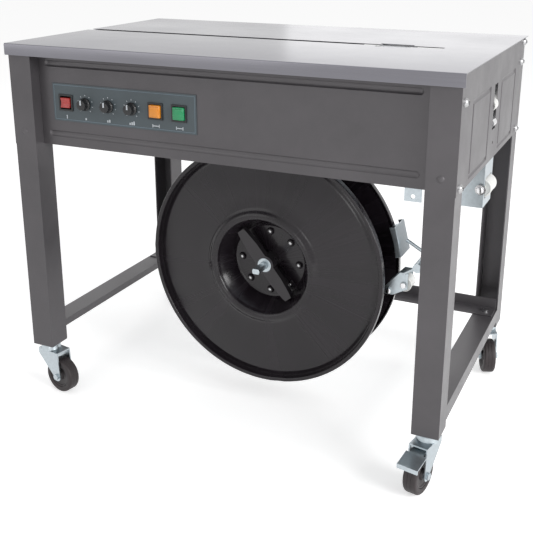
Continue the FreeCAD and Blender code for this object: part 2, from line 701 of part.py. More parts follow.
def control_board():
    face = plate_front + d.board_setback
    bottom = plate_z - d.board_height / 2
    middle = plate_x
    board = centred(middle, face + d.board_gauge / 2, bottom, d.board_length,
                    d.board_gauge, d.board_height)
    parts = [board]
    for x in knob_places:
        start = face - d.pot_depth
        can = rod("y", x, start, plate_z, d.pot_radius, d.pot_depth)
        nose = rod("y", x, panel_front + d.panel_gauge, plate_z, d.pot_radius / 2 + d.fit_gap,
                   start - panel_front - d.panel_gauge)
        bore = rod("y", x, panel_front, plate_z, d.pot_shaft_radius + d.pot_play,
                   d.board_setback - d.board_gauge)
        parts.append(cut(fuse(can, nose), bore))
    for share in (-1, 1):
        chip_x = middle + share * d.board_length / 3
        parts.append(centred(chip_x, face + d.board_gauge + d.chip_height / 2,
                             bottom + d.chip_size, d.chip_size, d.chip_height, d.chip_size))
        parts.append(centred(middle + share * d.board_length / 8,
                             face + d.board_gauge + d.relay_size / 2,
                             bottom + d.chip_size, d.relay_size, d.relay_size,
                             d.relay_size))
        for level in (bottom + 2 * d.spacer_radius, bottom + d.board_height - 2 * d.spacer_radius):
            spacer_x = middle + share * (d.board_length / 2 - 2 * d.spacer_radius)
            parts.append(rod("y", spacer_x, panel_front + d.panel_gauge, level,
                             d.spacer_radius, face - panel_front - d.panel_gauge))
    node("control_board", *parts)


# Strap inlet: two cheeks behind the slot, a nylon roller and a chrome bar
inlet_roller_x = panel_outer - d.inlet_roller_inset
inlet_roller_z = body_bottom + d.inlet_roller_rise


def inlet_guide():
    back = leg_outer - d.inlet_cheek_depth
    half = d.inlet_width / 2 + d.inlet_gauge / 2
    cheeks = [centred(back + d.inlet_cheek_depth / 2, side * half, inlet_bottom,
                      d.inlet_cheek_depth, d.inlet_gauge, d.inlet_height)
              for side in (-1, 1)]
    web = box(back, -half, inlet_bottom, d.inlet_gauge, 2 * half, d.inlet_height / 4)
    inner = d.inlet_width / 2
    pin = rod("y", inlet_roller_x, -inner, inlet_roller_z, d.inlet_pin_radius, 2 * inner)
    bar = rod("y", panel_outer - d.inlet_bar_inset, -inner, body_bottom + d.inlet_bar_rise,
              d.inlet_bar_radius, 2 * inner)
    node("inlet_guide", fuse(*cheeks, web, pin, bar))


def inlet_roller():
    wide = d.inlet_width - 4 * d.fit_gap
    body = rod("y", inlet_roller_x, -wide / 2, inlet_roller_z, d.inlet_roller_radius, wide)
    bore = rod("y", inlet_roller_x, -wide, inlet_roller_z, d.inlet_pin_radius + d.hub_play,
               2 * wide)
    node("inlet_roller", cut(body, bore))


# Guide roller below the right side panel
def guide_bracket():
    left = guide_x - d.guide_left
    width = d.guide_left + d.guide_right
    upper_width = leg_outer - d.panel_hem - d.fit_gap - left
    low = guide_z - d.guide_drop
    skirt_top = body_bottom - d.guide_foot
    plates = []
    for side in (-1, 1):
        y = side * (d.guide_span - d.guide_gauge) / 2
        plates.append(centred(left + width / 2, y, low, width, d.guide_gauge,
                              skirt_top - low))
        plates.append(centred(left + upper_width / 2, y, low, upper_width, d.guide_gauge,
                              tray_floor - low))
    wall = centred(left + width - d.guide_gauge / 2, 0, low, d.guide_gauge, d.guide_span,
                   skirt_top - low)
    window = centred(left + width, 0, guide_z - d.guide_window / 2,
                     4 * d.guide_gauge, d.guide_width + d.guide_gauge, d.guide_window)
    foot = centred(left + upper_width / 2, 0, tray_floor - d.guide_gauge, upper_width,
                   d.guide_span, d.guide_gauge)
    reach = d.guide_span / 2 + d.guide_gauge
    axle = rod("y", guide_x, -reach, guide_z, d.guide_pin_radius, 2 * reach)
    bore = rod("y", guide_x, -reach, guide_z, d.guide_pin_radius, 2 * reach)
    heads = [rod("y", guide_x, side * (reach - d.guide_gauge / 2) - d.guide_gauge / 2,
                 guide_z, d.guide_pin_radius + d.guide_gauge, d.guide_gauge)
             for side in (-1, 1)]
    frame = cut(fuse(*plates, wall, foot), window, bore)
    node("guide_bracket", frame, fuse(axle, *heads))


def plain_roller(name, x, y, z, radius, width, bore_radius, chamfer):
    points = [(bore_radius, -width / 2), (radius - chamfer, -width / 2),
              (radius, -width / 2 + chamfer), (radius, width / 2 - chamfer),
              (radius - chamfer, width / 2), (bore_radius, width / 2)]
    roller = place(turned(points), x, y, z, BACKWARD)
    node(name, roller)


# Reel: two dished flanges on a short fixed shaft, quarter-turn lock handle in the bowl
HANDLE_LEAN = 51
reel_front = -d.reel_front
reel_back = reel_front + d.reel_gap


def flange_points(bore, sink):
    """Section of a dished flange: radius, and depth behind the rim's front edge."""
    rim = reel_radius
    inner = rim - d.rim_width
    skin = d.reel_gauge
    ring_front = -d.ring_stand
    face = [(bore, sink), (d.bowl_foot, sink), (d.bowl_mouth, 0),
            (d.ring_inner, ring_front), (d.ring_outer, ring_front),
            (d.ring_foot, 0), (inner - 2 * skin, d.cone_depth),
            (inner - skin, d.cone_depth + d.groove_depth),
            (inner, d.cone_depth + d.groove_depth), (inner + skin, 0), (rim - skin / 2, 0),
            (rim, skin / 2), (rim, d.rim_depth + skin), (rim - skin, d.rim_depth + skin),
            (rim - skin, d.cone_depth)]
    back = [(inner + skin / 2, d.cone_depth + d.groove_depth + skin),
            (inner - 2 * skin, d.cone_depth + d.groove_depth + skin),
            (d.ring_foot, skin + skin / 2), (d.bowl_mouth + skin, skin + skin / 2),
            (d.bowl_foot + skin, sink + skin), (bore, sink + skin)]
    return face + back


def reel_front_flange():
    bore = d.shaft_radius + d.shaft_play
    dish = place(turned(flange_points(bore, d.bowl_depth)), 0, 0, 0, BACKWARD)
    slant = 0.5 ** 0.5
    bosses = []
    for x, z in ((1, 0), (slant, slant), (0, 1), (-slant, slant),
                 (-1, 0), (-slant, -slant), (0, -1), (slant, -slant)):
        bosses.append(rod("y", x * d.boss_circle, d.bowl_depth - d.boss_height,
                          z * d.boss_circle, d.boss_radius, d.boss_height))
    flange = place(fuse(dish, *bosses), reel_x, reel_front, reel_z)
    node("reel_front_flange", flange)


def reel_rear_flange():
    """The rear flange faces backwards and carries the drum that the coil sits on."""
    bore = d.shaft_radius + d.shaft_play
    skin = d.reel_gauge
    rim = reel_radius
    inner = rim - d.rim_width
    drum_outer = d.bowl_mouth + skin + d.drum_gap + d.drum_wall
    drum_front = d.reel_gap - 2 * skin
    points = [(bore, 0), (d.bowl_foot, 0), (drum_outer, 0), (inner, d.cone_depth),
              (inner + skin, 0), (rim - skin / 2, 0), (rim, skin / 2),
              (rim, d.rim_depth + skin), (rim - skin, d.rim_depth + skin),
              (rim - skin, d.cone_depth + skin), (drum_outer, skin),
              (drum_outer, drum_front - d.bowl_depth / 4),
              (drum_outer - skin / 2, drum_front - skin),
              (drum_outer - d.drum_wall, drum_front - skin), (drum_outer - d.drum_wall, skin),
              (d.hub_radius, skin), (d.hub_radius - skin, d.hub_length), (bore, d.hub_length)]
    flange = place(turned(points), reel_x, reel_back, reel_z,
                   Rotation(Vector(1, 0, 0), 90))
    node("reel_rear_flange", flange)


def reel_lock_handle():
    """A waisted bar across the bowl, leaning as it is locked in the photograph."""
    half = d.handle_length / 2
    wide = d.handle_width / 2
    waist = wide - d.handle_waist
    points = [(-half, -waist), (-half + waist, -wide + waist / 2), (-half / 2, -wide),
              (half / 2, -wide), (half - waist, -wide + waist / 2), (half, -waist),
              (half, waist), (half - waist, wide - waist / 2), (half / 2, wide),
              (-half / 2, wide), (-half + waist, wide - waist / 2), (-half, waist)]
    bar = padded("XZ_Plane", points, d.handle_height, reverse=True)
    stand = place(bar, 0, d.handle_stand, 0)
    hub_length = d.bowl_depth - d.fit_gap - d.handle_stand
    hub = rod("y", 0, d.handle_stand, 0, d.handle_hub_radius, hub_length)
    bore = rod("y", 0, -over, 0, d.shaft_radius + d.shaft_play, d.bowl_depth + 2 * over)
    handle = place(cut(fuse(stand, hub), bore), reel_x, reel_front, reel_z,
                   Rotation(Vector(0, 1, 0), HANDLE_LEAN))
    node("reel_lock_handle", handle)


web_y = reel_back + d.web_gap


def reel_bracket():
    low = reel_z - d.web_tail
    height = tray_floor - low
    web = centred(reel_x, web_y + d.web_gauge / 2, low, d.web_width, d.web_gauge, height)
    wings = [centred(reel_x + side * (d.web_width - d.web_gauge) / 2,
                     web_y + d.web_flange / 2, low, d.web_gauge, d.web_flange, height)
             for side in (-1, 1)]
    foot = centred(reel_x, web_y + d.web_foot / 2, tray_floor - d.web_gauge,
                   d.web_width, d.web_foot, d.web_gauge)
    collar = rod("y", reel_x, web_y + d.web_gauge, reel_z, d.collar_radius,
                 d.collar_length)
    bore = rod("y", reel_x, web_y - over, reel_z, d.shaft_radius,
               d.web_gauge + d.collar_length + 2 * over)
    node("reel_bracket", cut(fuse(web, *wings, foot, collar), bore))


def reel_shaft():
    nose = reel_front - d.shaft_stand
    tail = web_y + d.web_gauge + d.collar_length
    step = nose + d.shaft_nose_length
    body = rod("y", reel_x, step, reel_z, d.shaft_radius, tail - step)
    stem = rod("y", reel_x, nose, reel_z, d.shaft_nose_radius,
               d.shaft_nose_length)
    keep = centred(reel_x, nose + d.shaft_nose_length / 4, reel_z - d.shaft_flat,
                   2 * d.shaft_nose_radius, d.shaft_nose_length / 2, 2 * d.shaft_flat)
    whole = centred(reel_x, nose + 3 * d.shaft_nose_length / 4,
                    reel_z - d.shaft_radius, 2 * d.shaft_radius,
                    d.shaft_nose_length / 2, 2 * d.shaft_radius)
    stop = rod("y", reel_x, reel_back + d.fit_gap, reel_z, d.collar_radius,
               web_y - reel_back - d.fit_gap)
    node("reel_shaft", fuse(body, common(stem, fuse(keep, whole)), stop))


# Brake: one lever with a lined shoe over the rear flange's rim and a dancer roller
brake_front = (reel_front + reel_back) / 2 - d.link_gap / 2
brake_tube_front = brake_front - 2 * d.link_gauge
brake_tube_back = reel_back + d.brake_post_gap - d.fit_gap


def brake_bracket():
    y = reel_back + d.brake_post_gap
    low = brake_z - d.brake_post_tail
    post = centred(brake_x, y + d.brake_post_gauge / 2, low, d.brake_post_width,
                   d.brake_post_gauge, tray_floor - low)
    foot = centred(brake_x, y + d.brake_foot / 2, tray_floor - d.brake_post_gauge,
                   d.brake_post_width, d.brake_foot, d.brake_post_gauge)
    nose = brake_tube_front - d.fit_gap - d.link_gauge
    pin = rod("y", brake_x, nose, brake_z, d.brake_pin_radius, y - nose)
    clip = rod("y", brake_x, nose, brake_z, d.brake_tube_radius, d.link_gauge)
    node("brake_bracket", fuse(post, foot, pin, clip))


shoe_middle_y = reel_back - (d.rim_depth + d.reel_gauge) / 2


def bar_between(start, end, radius):
    """A round bar from one place to another, as a line swept by a circle."""
    gap = [size_of(b) - size_of(a) for a, b in zip(start, end)]
    length = (gap[0] * gap[0] + gap[1] * gap[1] + gap[2] * gap[2]).root()
    bar = document.addObject("Part::Cylinder", "Cylinder")
    bar.Radius = radius.worth
    bind(bar, "Radius", radius)
    bar.Height = length.worth
    bind(bar, "Height", length)
    aim = Rotation(Vector(0, 0, 1), Vector(*[value.worth for value in gap]))
    return place(bar, *start, aim)


def shoe_place():
    """Middle of the shoe's lining on the rim: across and up from the reel's axis."""
    rise = d.shoe_tilt_rise
    run = (reel_radius * reel_radius - rise * rise).root()
    return reel_x + run, reel_z + rise


def brake_arm():
    length = brake_tube_back - brake_tube_front
    tube = rod("y", brake_x, brake_tube_front, brake_z, d.brake_tube_radius,
               length)
    bore = rod("y", brake_x, brake_tube_front - over, brake_z,
               d.brake_pin_radius + d.brake_play, length + 2 * over)
    shoe_x, shoe_z = shoe_place()
    upper = bar_between((brake_x, shoe_middle_y, brake_z),
                        (shoe_x + d.shoe_depth - d.shoe_gauge, shoe_middle_y, shoe_z),
                        d.lever_rod_radius)
    link_top = dancer_z + d.link_rise
    lower = bar_between((brake_x, brake_front, brake_z),
                        (dancer_x, brake_front, link_top), d.lever_rod_radius)
    links = []
    for y in (brake_front, brake_front + d.link_gap):
        half = d.link_width / 2
        points = [(stop_x - half, stop_z - half), (stop_x + half, stop_z - half),
                  (dancer_x + half, dancer_z - half), (dancer_x + half, link_top),
                  (dancer_x - half, link_top), (stop_x - half, stop_z + half)]
        links.append(padded("XZ_Plane", points, d.link_gauge,
                            offset=-y - d.link_gauge / 2))
    span = d.link_gap + 2 * d.link_gauge
    pins = [rod("y", x, brake_front - d.link_gauge, z, radius, span)
            for x, z, radius in ((dancer_x, dancer_z, d.dancer_pin_radius),
                                 (stop_x, stop_z, d.stop_radius))]
    lever = cut(fuse(tube, upper, lower, *links, *pins), bore)
    node("brake_arm", lever)


def brake_shoe():
    """Channel over the rim, with a lining block that rests just off the rim."""
    depth = d.shoe_depth
    outer = centred(depth / 2, 0, -d.shoe_length / 2, depth, d.shoe_width, d.shoe_length)
    hollow = centred(depth / 2 - d.shoe_gauge, 0, -d.shoe_length, depth,
                     d.shoe_width - 2 * d.shoe_gauge, 2 * d.shoe_length)
    pad = centred(depth - d.shoe_gauge - d.lining_gauge / 2, 0, -d.shoe_length / 2 + over,
                  d.lining_gauge, d.lining_width, d.shoe_length - 2 * over)
    round_face = rod("y", -reel_radius, -d.shoe_width, 0, reel_radius + d.lining_gap,
                     2 * d.shoe_width)
    lining_x = d.shoe_gauge + d.lining_gauge - depth
    seat = place(group(cut(outer, hollow), pad), lining_x + d.lining_gap, 0, 0)
    trimmed = cut(seat, round_face)
    shoe_x, shoe_z = shoe_place()
    tilt = FreeCAD.Vector((shoe_x - reel_x).worth, 0, (shoe_z - reel_z).worth)
    node("brake_shoe", place(trimmed, shoe_x, shoe_middle_y, shoe_z,
                             Rotation(Vector(1, 0, 0), tilt)))


# Casters: local frame with the swivel axis at the origin and the wheel towards +X
def corner(side, end):
    return side * (leg_outer + leg_inner) / 2, end * (-leg_front - d.leg_depth / 2)


CORNERS = {
    "front_left": (-1, -1, -10),
    "front_right": (1, -1, -101),
    "rear_left": (-1, 1, 101),
    "rear_right": (1, 1, -68),
}
race_top = d.caster_height - d.race_gauge - d.race_gap
crown_bottom = race_top - d.cup_height - d.crown_gauge


def caster_stem(x, y):
    disc = rod("z", x, y, d.caster_height - d.race_gauge, d.race_radius, d.race_gauge)
    stem = rod("z", x, y, crown_bottom - d.race_gap, d.stem_radius,
               d.caster_height + d.stem_rise - crown_bottom + d.race_gap)
    nut = rod("z", x, y, d.caster_height + d.foot_gauge, d.nut_radius, d.nut_height)
    head = rod("z", x, y, crown_bottom - d.race_gap - d.stem_head_height,
               d.stem_head_radius, d.stem_head_height)
    return fuse(disc, stem, nut, head)


def caster_fork():
    """Cup and crown round the stem, and two side plates down to the axle."""
    cup = cone("z", 0, 0, crown_bottom, d.race_radius, d.race_radius - d.crown_gauge,
               race_top - crown_bottom)
    half = d.wheel_width / 2 + d.fork_side_gap
    crown = box(-d.fork_back, -half - d.fork_gauge, crown_bottom, d.fork_back + d.fork_front,
                2 * (half + d.fork_gauge), d.crown_gauge)
    wheel_z = d.wheel_radius
    tip = d.fork_tip_radius
    plates = []
    for side in (-1, 1):
        points = [(-d.fork_back, crown_bottom + d.crown_gauge),
                  (-d.fork_back, crown_bottom - d.cup_height),
                  (d.caster_trail - tip, wheel_z), (d.caster_trail + tip, wheel_z),
                  (d.fork_front, crown_bottom + d.crown_gauge)]
        near = side * (half + d.fork_gauge / 2) - d.fork_gauge / 2
        plate = padded("XZ_Plane", points, d.fork_gauge, offset=-near, reverse=True)
        end_disc = rod("y", d.caster_trail, near, wheel_z, tip, d.fork_gauge)
        plates += [plate, end_disc]
    bore = rod("z", 0, 0, crown_bottom - over, d.stem_radius + d.stem_play,
               race_top - crown_bottom + 2 * over)
    span = 2 * (half + d.fork_gauge)
    hole = rod("y", d.caster_trail, -span, wheel_z, d.axle_radius, 2 * span)
    fork = cut(fuse(cup, crown, *plates), bore, hole)
    reach = half + d.fork_gauge
    axle = rod("y", d.caster_trail, -reach, wheel_z, d.axle_radius, 2 * reach)
    heads = [rod("y", d.caster_trail,
                 side * (reach + d.axle_head_height / 2) - d.axle_head_height / 2, wheel_z,
                 d.axle_head_radius, d.axle_head_height) for side in (-1, 1)]
    return fork, fuse(axle, *heads)


def caster_wheel():
    """Tyre and hub as two solids that meet on a cylinder."""
    half = d.wheel_width / 2
    rim = d.wheel_radius - d.tyre_depth
    soft = d.tyre_round
    tyre = turned([(rim, -half + d.hub_recess), (rim + soft, -half),
                   (d.wheel_radius - soft, -half), (d.wheel_radius - soft / 3, -half + soft / 3),
                   (d.wheel_radius, -half + soft), (d.wheel_radius, half - soft),
                   (d.wheel_radius - soft / 3, half - soft / 3),
                   (d.wheel_radius - soft, half), (rim + soft, half),
                   (rim, half - d.hub_recess)])
    bore = d.axle_radius + d.axle_play
    web = half - 2 * d.hub_recess
    hub = turned([(bore, -half), (d.hub_boss_radius, -half),
                  (d.hub_boss_radius + d.hub_recess, -web), (rim - d.hub_recess, -web),
                  (rim, -half + d.hub_recess), (rim, half - d.hub_recess),
                  (rim - d.hub_recess, web), (d.hub_boss_radius + d.hub_recess, web),
                  (d.hub_boss_radius, half), (bore, half)])
    for part in (tyre, hub):
        place(part, d.caster_trail, 0, d.wheel_radius, BACKWARD)
    return tyre, hub


def brake_pedal():
    """A tread plate over the wheel on two ears, pivoted between the fork's side plates."""
    z = d.pedal_pivot_rise
    gauge = d.pedal_gauge
    fall = d.pedal_drop / (d.pedal_end - d.pedal_start)

    def tread_height(reach):
        return z - fall * (reach - d.pedal_start)

    def plate(near, far, width, lip):
        points = [(near, tread_height(near)), (far, tread_height(far))] + lip
        points += [(far, tread_height(far) + gauge), (near, tread_height(near) + gauge)]
        return padded("XZ_Plane", points, width, offset=width / 2, reverse=True)

    neck = plate(d.pedal_start, d.pedal_neck_end, d.pedal_neck, [])
    end = d.pedal_end
    low = tread_height(end) - d.pedal_lip
    rim = [(end, low), (end + gauge, low), (end + gauge, tread_height(end) + gauge)]
    tread = plate(d.pedal_neck_end - gauge, end, d.pedal_width, rim)
    half = d.wheel_width / 2 + d.fork_side_gap
    pin = rod("y", d.pedal_start, -half + d.race_gap, z, d.pedal_pin_radius,
              2 * half - 2 * d.race_gap)
    return fuse(neck, tread, pin)


def casters():
    stems = [caster_stem(*corner(side, end)) for side, end, heading in CORNERS.values()]
    node("caster_stems", *stems)
    for name, (side, end, heading) in CORNERS.items():
        x, y = corner(side, end)
        aim = Rotation(Vector(0, 0, 1), heading)
        node(f"caster_fork_{name}", place(group(*caster_fork()), x, y, 0, aim))
        node(f"caster_wheel_{name}", place(group(*caster_wheel()), x, y, 0, aim))
        if name in ("front_right", "rear_left"):
            node(f"caster_brake_{name}", place(brake_pedal(), x, y, 0, aim))


# Drive: motor, belt, worm gearbox and camshaft on the tray
motor_z = tray_top + d.motor_height
pulley_y = -d.motor_front - d.motor_bell_length - d.pulley_gap - d.pulley_width
worm_z = motor_z


def motor():
    start = -d.motor_front
    can = rod("y", motor_x, start, motor_z, d.motor_radius, d.motor_length)
    bells = [rod("y", motor_x, start - d.motor_bell_length, motor_z, d.motor_bell_radius,
                 d.motor_bell_length),
             rod("y", motor_x, start + d.motor_length, motor_z, d.motor_bell_radius,
                 d.motor_bell_length)]
    foot = centred(motor_x, start + d.motor_length / 2, tray_top, d.motor_foot,
                   d.motor_length - 2 * d.motor_bell_length, d.motor_foot_gauge)
    saddle = centred(motor_x, start + d.motor_length / 2, tray_top, d.motor_foot / 2,
                     d.motor_length / 2, d.motor_height / 2)
    shaft = rod("y", motor_x, start - d.motor_shaft_length, motor_z,
                d.motor_shaft_radius, d.motor_shaft_length)
    node("motor", fuse(can, *bells, foot, saddle, shaft))


def belt_pulley(name, x, radius, shaft_radius):
    half = d.pulley_width / 2
    lip = (d.pulley_width - d.belt_width) / 4
    floor = radius - d.pulley_groove
    bore = shaft_radius + d.hub_play
    points = [(bore, -half), (radius, -half), (radius, -half + lip), (floor, -half + 2 * lip),
              (floor, half - 2 * lip), (radius, half - lip), (radius, half), (bore, half)]
    wheel = place(turned(points), x, pulley_y + half, worm_z, BACKWARD)
    node(name, wheel)


def belt_loop(drawing, small, large, distance):
    """Two arcs and two straight runs that touch them, round both pulleys."""
    lean = (large - small) / distance
    rise = (1 - lean * lean).root()
    ends = [(-lean * small, rise * small), (distance - lean * large, rise * large),
            (distance - lean * large, -rise * large), (-lean * small, -rise * small)]
    flat = [Vector(x.worth, y.worth, 0) for x, y in ends]
    middle_small = Vector(-small.worth, 0, 0)
    middle_large = Vector(distance.worth + large.worth, 0, 0)
    shapes = [Part.LineSegment(flat[0], flat[1]), Part.Arc(flat[2], middle_large, flat[1]),
              Part.LineSegment(flat[2], flat[3]), Part.Arc(flat[0], middle_small, flat[3])]
    lines = drawing.addGeometry(shapes, False)
    hold(drawing, lines[0], 1, *ends[0])
    hold(drawing, lines[0], 2, *ends[1])
    hold(drawing, lines[2], 1, *ends[2])
    hold(drawing, lines[2], 2, *ends[3])
    for arc, before, after in ((lines[1], (lines[0], 2), (lines[2], 1)),
                               (lines[3], (lines[2], 2), (lines[0], 1))):
        geometry = drawing.Geometry[arc]
        ends_of_arc = {1: geometry.StartPoint, 2: geometry.EndPoint}
        for line, end in (before, after):
            target = drawing.getPoint(line, end)
            near = min(ends_of_arc, key=lambda i: (ends_of_arc[i] - target).Length)
            drawing.addConstraint(Sketcher.Constraint("Coincident", arc, near, line, end))
        radius = large if arc == lines[1] else small
        rule = Sketcher.Constraint("Radius", arc, radius.worth)
        bind(drawing, f"Constraints[{drawing.addConstraint(rule)}]", radius)


def drive_belt():
    body = document.addObject("PartDesign::Body", "Body")
    drawing = drawing_on(body, "XZ_Plane")
    inner_small = d.motor_pulley_radius - d.pulley_groove + d.belt_gap
    inner_large = d.worm_pulley_radius - d.pulley_groove + d.belt_gap
    distance = gearbox_x - motor_x
    belt_loop(drawing, inner_small, inner_large, distance)
    belt_loop(drawing, inner_small + d.belt_gauge, inner_large + d.belt_gauge, distance)
    pad = body.newObject("PartDesign::Pad", "Pad")
    pad.Profile = drawing
    pad.Reversed = True
    width = d.belt_width - 2 * d.belt_gap
    pad.Length = width.worth
    bind(pad, "Length", width)
    middle = pulley_y + d.pulley_width / 2 - width / 2
    node("drive_belt", place(body, motor_x, middle, motor_z))


cam_z = tray_top + d.cam_height


def gearbox():
    body = centred(gearbox_x, 0, tray_top, d.gearbox_length, d.gearbox_width,
                   d.gearbox_height)
    foot = centred(gearbox_x, 0, tray_top, d.gearbox_length,
                   d.gearbox_width + 4 * d.gearbox_foot, d.gearbox_foot)
    worm = rod("y", gearbox_x, pulley_y - d.hub_play, worm_z, d.worm_shaft_radius,
               -pulley_y - d.gearbox_width / 2 + d.pulley_groove)
    bore = rod("x", gearbox_x, 0, cam_z, d.cam_shaft_radius + d.cam_play,
               d.gearbox_length)
    node("gearbox", fuse(cut(fuse(body, foot), bore), worm))


slider_places = [head_x + (i - 1) * d.slider_pitch for i in range(3)]


def camshaft():
    start = gearbox_x + d.gearbox_length / 4
    end = head_x + d.head_length / 2 + d.fit_gap
    parts = [rod("x", start, 0, cam_z, d.cam_shaft_radius, end - start)]
    for x in slider_places:
        parts.append(rod("x", x - d.cam_width / 2, d.cam_offset, cam_z, d.cam_radius,
                         d.cam_width))
    node("camshaft", fuse(*parts))


# Sealing head: block with three guide ways on two cheeks
def head_block():
    bottom = head_top - d.head_block_height
    block = centred(head_x, 0, bottom, d.head_length, d.head_width, d.head_block_height)
    cheeks = [centred(head_x + side * (d.head_length - d.head_wall) / 2, 0, tray_top,
                      d.head_wall, d.head_width, bottom - tray_top) for side in (-1, 1)]
    ways = [centred(x, 0, bottom - over, d.slider_length + 2 * d.slider_gap,
                    d.slider_width + 2 * d.slider_gap, d.head_block_height + 2 * over)
            for x in slider_places]
    bores = [rod("x", head_x + side * (d.head_length / 2) - d.head_wall - over, 0, cam_z,
                 d.cam_shaft_radius + d.cam_play, 2 * d.head_wall + 2 * over)
             for side in (-1, 1)]
    rails = [part for side in (-1, 1) for part in anvil_rail(side)]
    back = d.head_width / 2
    arm = box(head_x + d.head_length / 2 - d.head_wall, back - d.feed_plate_gauge,
              head_top + d.feed_arm_drop - d.feed_plate_height,
              d.feed_plate_length + d.head_wall, d.feed_plate_gauge, d.feed_plate_height)
    reach = back - d.feed_plate_gauge + d.roller_width / 2 + 2 * d.fit_gap
    pins = [rod("y", feed_x, back - d.feed_plate_gauge - reach, z, radius, reach)
            for z, radius in ((feed_z, d.feed_pin_radius), (pinch_z, d.pinch_pin_radius))]
    lug = box(head_x - d.heater_hub_radius, back, head_top - d.head_wall,
              2 * d.heater_hub_radius, d.heater_y - back + d.heater_hub_radius, d.head_wall)
    post = rod("z", head_x, d.heater_y, head_top - d.head_wall, d.heater_post_radius,
               blade_top - head_top + d.head_wall)
    block = cut(fuse(block, *cheeks), *ways, *bores)
    node("head_block", fuse(block, *rails, arm, *pins, lug, post))


anvil_bottom = under_top - d.anvil_drop - d.anvil_gauge
tongue_bottom = anvil_bottom + (d.anvil_gauge - d.tongue_gauge) / 2
blade_top = anvil_bottom - d.blade_gap


def anvil_rail(side):
    """Grooved bar that holds one edge of the anvil, on a foot clear of the blade's swing."""
    width = d.rail_bar_width
    x = head_x + side * (d.anvil_length / 2 + d.fit_gap + width / 2)
    bar = centred(x, 0, anvil_bottom, width, d.head_width, d.anvil_gauge)
    depth = d.tongue_reach + d.fit_gap
    groove = centred(x - side * (width - depth) / 2, 0, tongue_bottom - d.fit_gap, depth,
                     2 * d.head_width, d.tongue_gauge + 2 * d.fit_gap)
    foot = centred(x + side * d.rail_foot_inset / 2, (d.rail_foot_length - d.head_width) / 2,
                   head_top, width - d.rail_foot_inset, d.rail_foot_length,
                   anvil_bottom - head_top)
    return cut(bar, groove), foot


def slider(name, x):
    bottom = cam_z + d.cam_radius + d.cam_offset + d.follower_gap
    top_z = head_top - d.fit_gap
    node(name, centred(x, 0, bottom, d.slider_length, d.slider_width, top_z - bottom))


def anvil_slide():
    plate = centred(head_x, 0, anvil_bottom, d.anvil_length, d.anvil_width, d.anvil_gauge)
    tongues = centred(head_x, 0, tongue_bottom, d.anvil_length + 2 * d.tongue_reach,
                      d.anvil_width, d.tongue_gauge)
    node("anvil_slide", fuse(plate, tongues))


def heater_arm():
    """Thin blade that swings in under the anvil on an upright post behind the head."""
    low = blade_top - d.blade_gauge
    hub_low = blade_top - d.heater_hub_height
    hub = rod("z", head_x, d.heater_y, hub_low, d.heater_hub_radius, d.heater_hub_height)
    blade = box(head_x, d.heater_y - d.blade_width / 2, low, d.blade_length,
                d.blade_width, d.blade_gauge)
    bore = rod("z", head_x, d.heater_y, hub_low - over,
               d.heater_post_radius + d.heater_play, d.heater_hub_height + 2 * over)
    node("heater_arm", cut(fuse(hub, blade), bore))


feed_z = top - d.feed_drop
pinch_z = feed_z + d.feed_radius + d.pinch_radius + d.nip_gap


def transformer():
    y = d.transformer_y
    core = centred(transformer_x, y, tray_top + d.core_foot,
                   d.core_length, d.core_width, d.core_height)
    foot = centred(transformer_x, y, tray_top,
                   d.core_length + 8 * d.core_foot, d.core_width, d.core_foot)
    coil_z = tray_top + d.core_foot + (d.core_height - d.coil_height) / 2
    coil = centred(transformer_x, y, coil_z, d.coil_length, d.coil_width, d.coil_height)
    node("transformer", fuse(core, foot, coil))


# Mains inlet: only the appliance socket, in the rear panel
def power_inlet():
    x = socket_x
    z = body_bottom + d.socket_rise
    outer = -panel_front
    flange = box(x - d.socket_width / 2, outer, z, d.socket_width, d.socket_gauge,
                 d.socket_height)
    shell = centred(x, outer - d.socket_depth / 2, z + d.socket_gauge,
                    d.socket_width - 4 * d.socket_gauge - 2 * d.fit_gap, d.socket_depth,
                    d.socket_height - 2 * d.socket_gauge)
    middle = z + d.socket_height / 2
    mouth = box(x - d.socket_mouth_width / 2, outer + d.socket_gauge - d.socket_mouth_depth,
                middle - d.socket_mouth_height / 2, d.socket_mouth_width,
                d.socket_mouth_depth + over, d.socket_mouth_height)
    blades = [centred(x + i * d.socket_pin_pitch, outer - d.socket_mouth_depth / 2,
                      middle - d.socket_pin_width / 2 + (1 - i * i) * d.socket_pin_width / 2,
                      d.socket_pin_gauge, d.socket_mouth_depth - d.socket_gauge,
                      d.socket_pin_width) for i in (-1, 0, 1)]
    node("power_inlet", fuse(cut(fuse(flange, shell), mouth), *blades))


table_top()
strap_chute()
legs()
lower_rails()
front_panel()
rear_panel()
side_panel(-1, "side_panel_left")
side_panel(1, "side_panel_right")
base_tray()
frame_screws()
control_plate()
switch_bezels()
power_rocker()
button("amber_button", switch_places[1])
button("green_button", switch_places[2])
for label, knob_x in zip(("heat_knob", "feed_knob", "tension_knob"), knob_places):
    dial_knob(label, knob_x)
control_board()
inlet_guide()
inlet_roller()
guide_bracket()
plain_roller("guide_roller", guide_x, 0, guide_z, d.guide_radius, d.guide_width,
             d.guide_pin_radius + d.guide_play, d.guide_gauge / 2)
reel_front_flange()
reel_rear_flange()
reel_lock_handle()
reel_bracket()
reel_shaft()
brake_bracket()
brake_arm()
brake_shoe()
plain_roller("dancer_roller", dancer_x, brake_front + d.link_gap / 2, dancer_z,
             d.dancer_radius, d.link_gap - d.link_gauge - 2 * d.fit_gap,
             d.dancer_pin_radius + d.brake_play, d.link_gauge / 2)
casters()
motor()
belt_pulley("motor_pulley", motor_x, d.motor_pulley_radius, d.motor_shaft_radius)
belt_pulley("gearbox_pulley", gearbox_x, d.worm_pulley_radius, d.worm_shaft_radius)
drive_belt()
gearbox()
camshaft()
head_block()
slider("left_gripper", slider_places[0])
slider("center_press", slider_places[1])
slider("right_gripper", slider_places[2])
anvil_slide()
heater_arm()
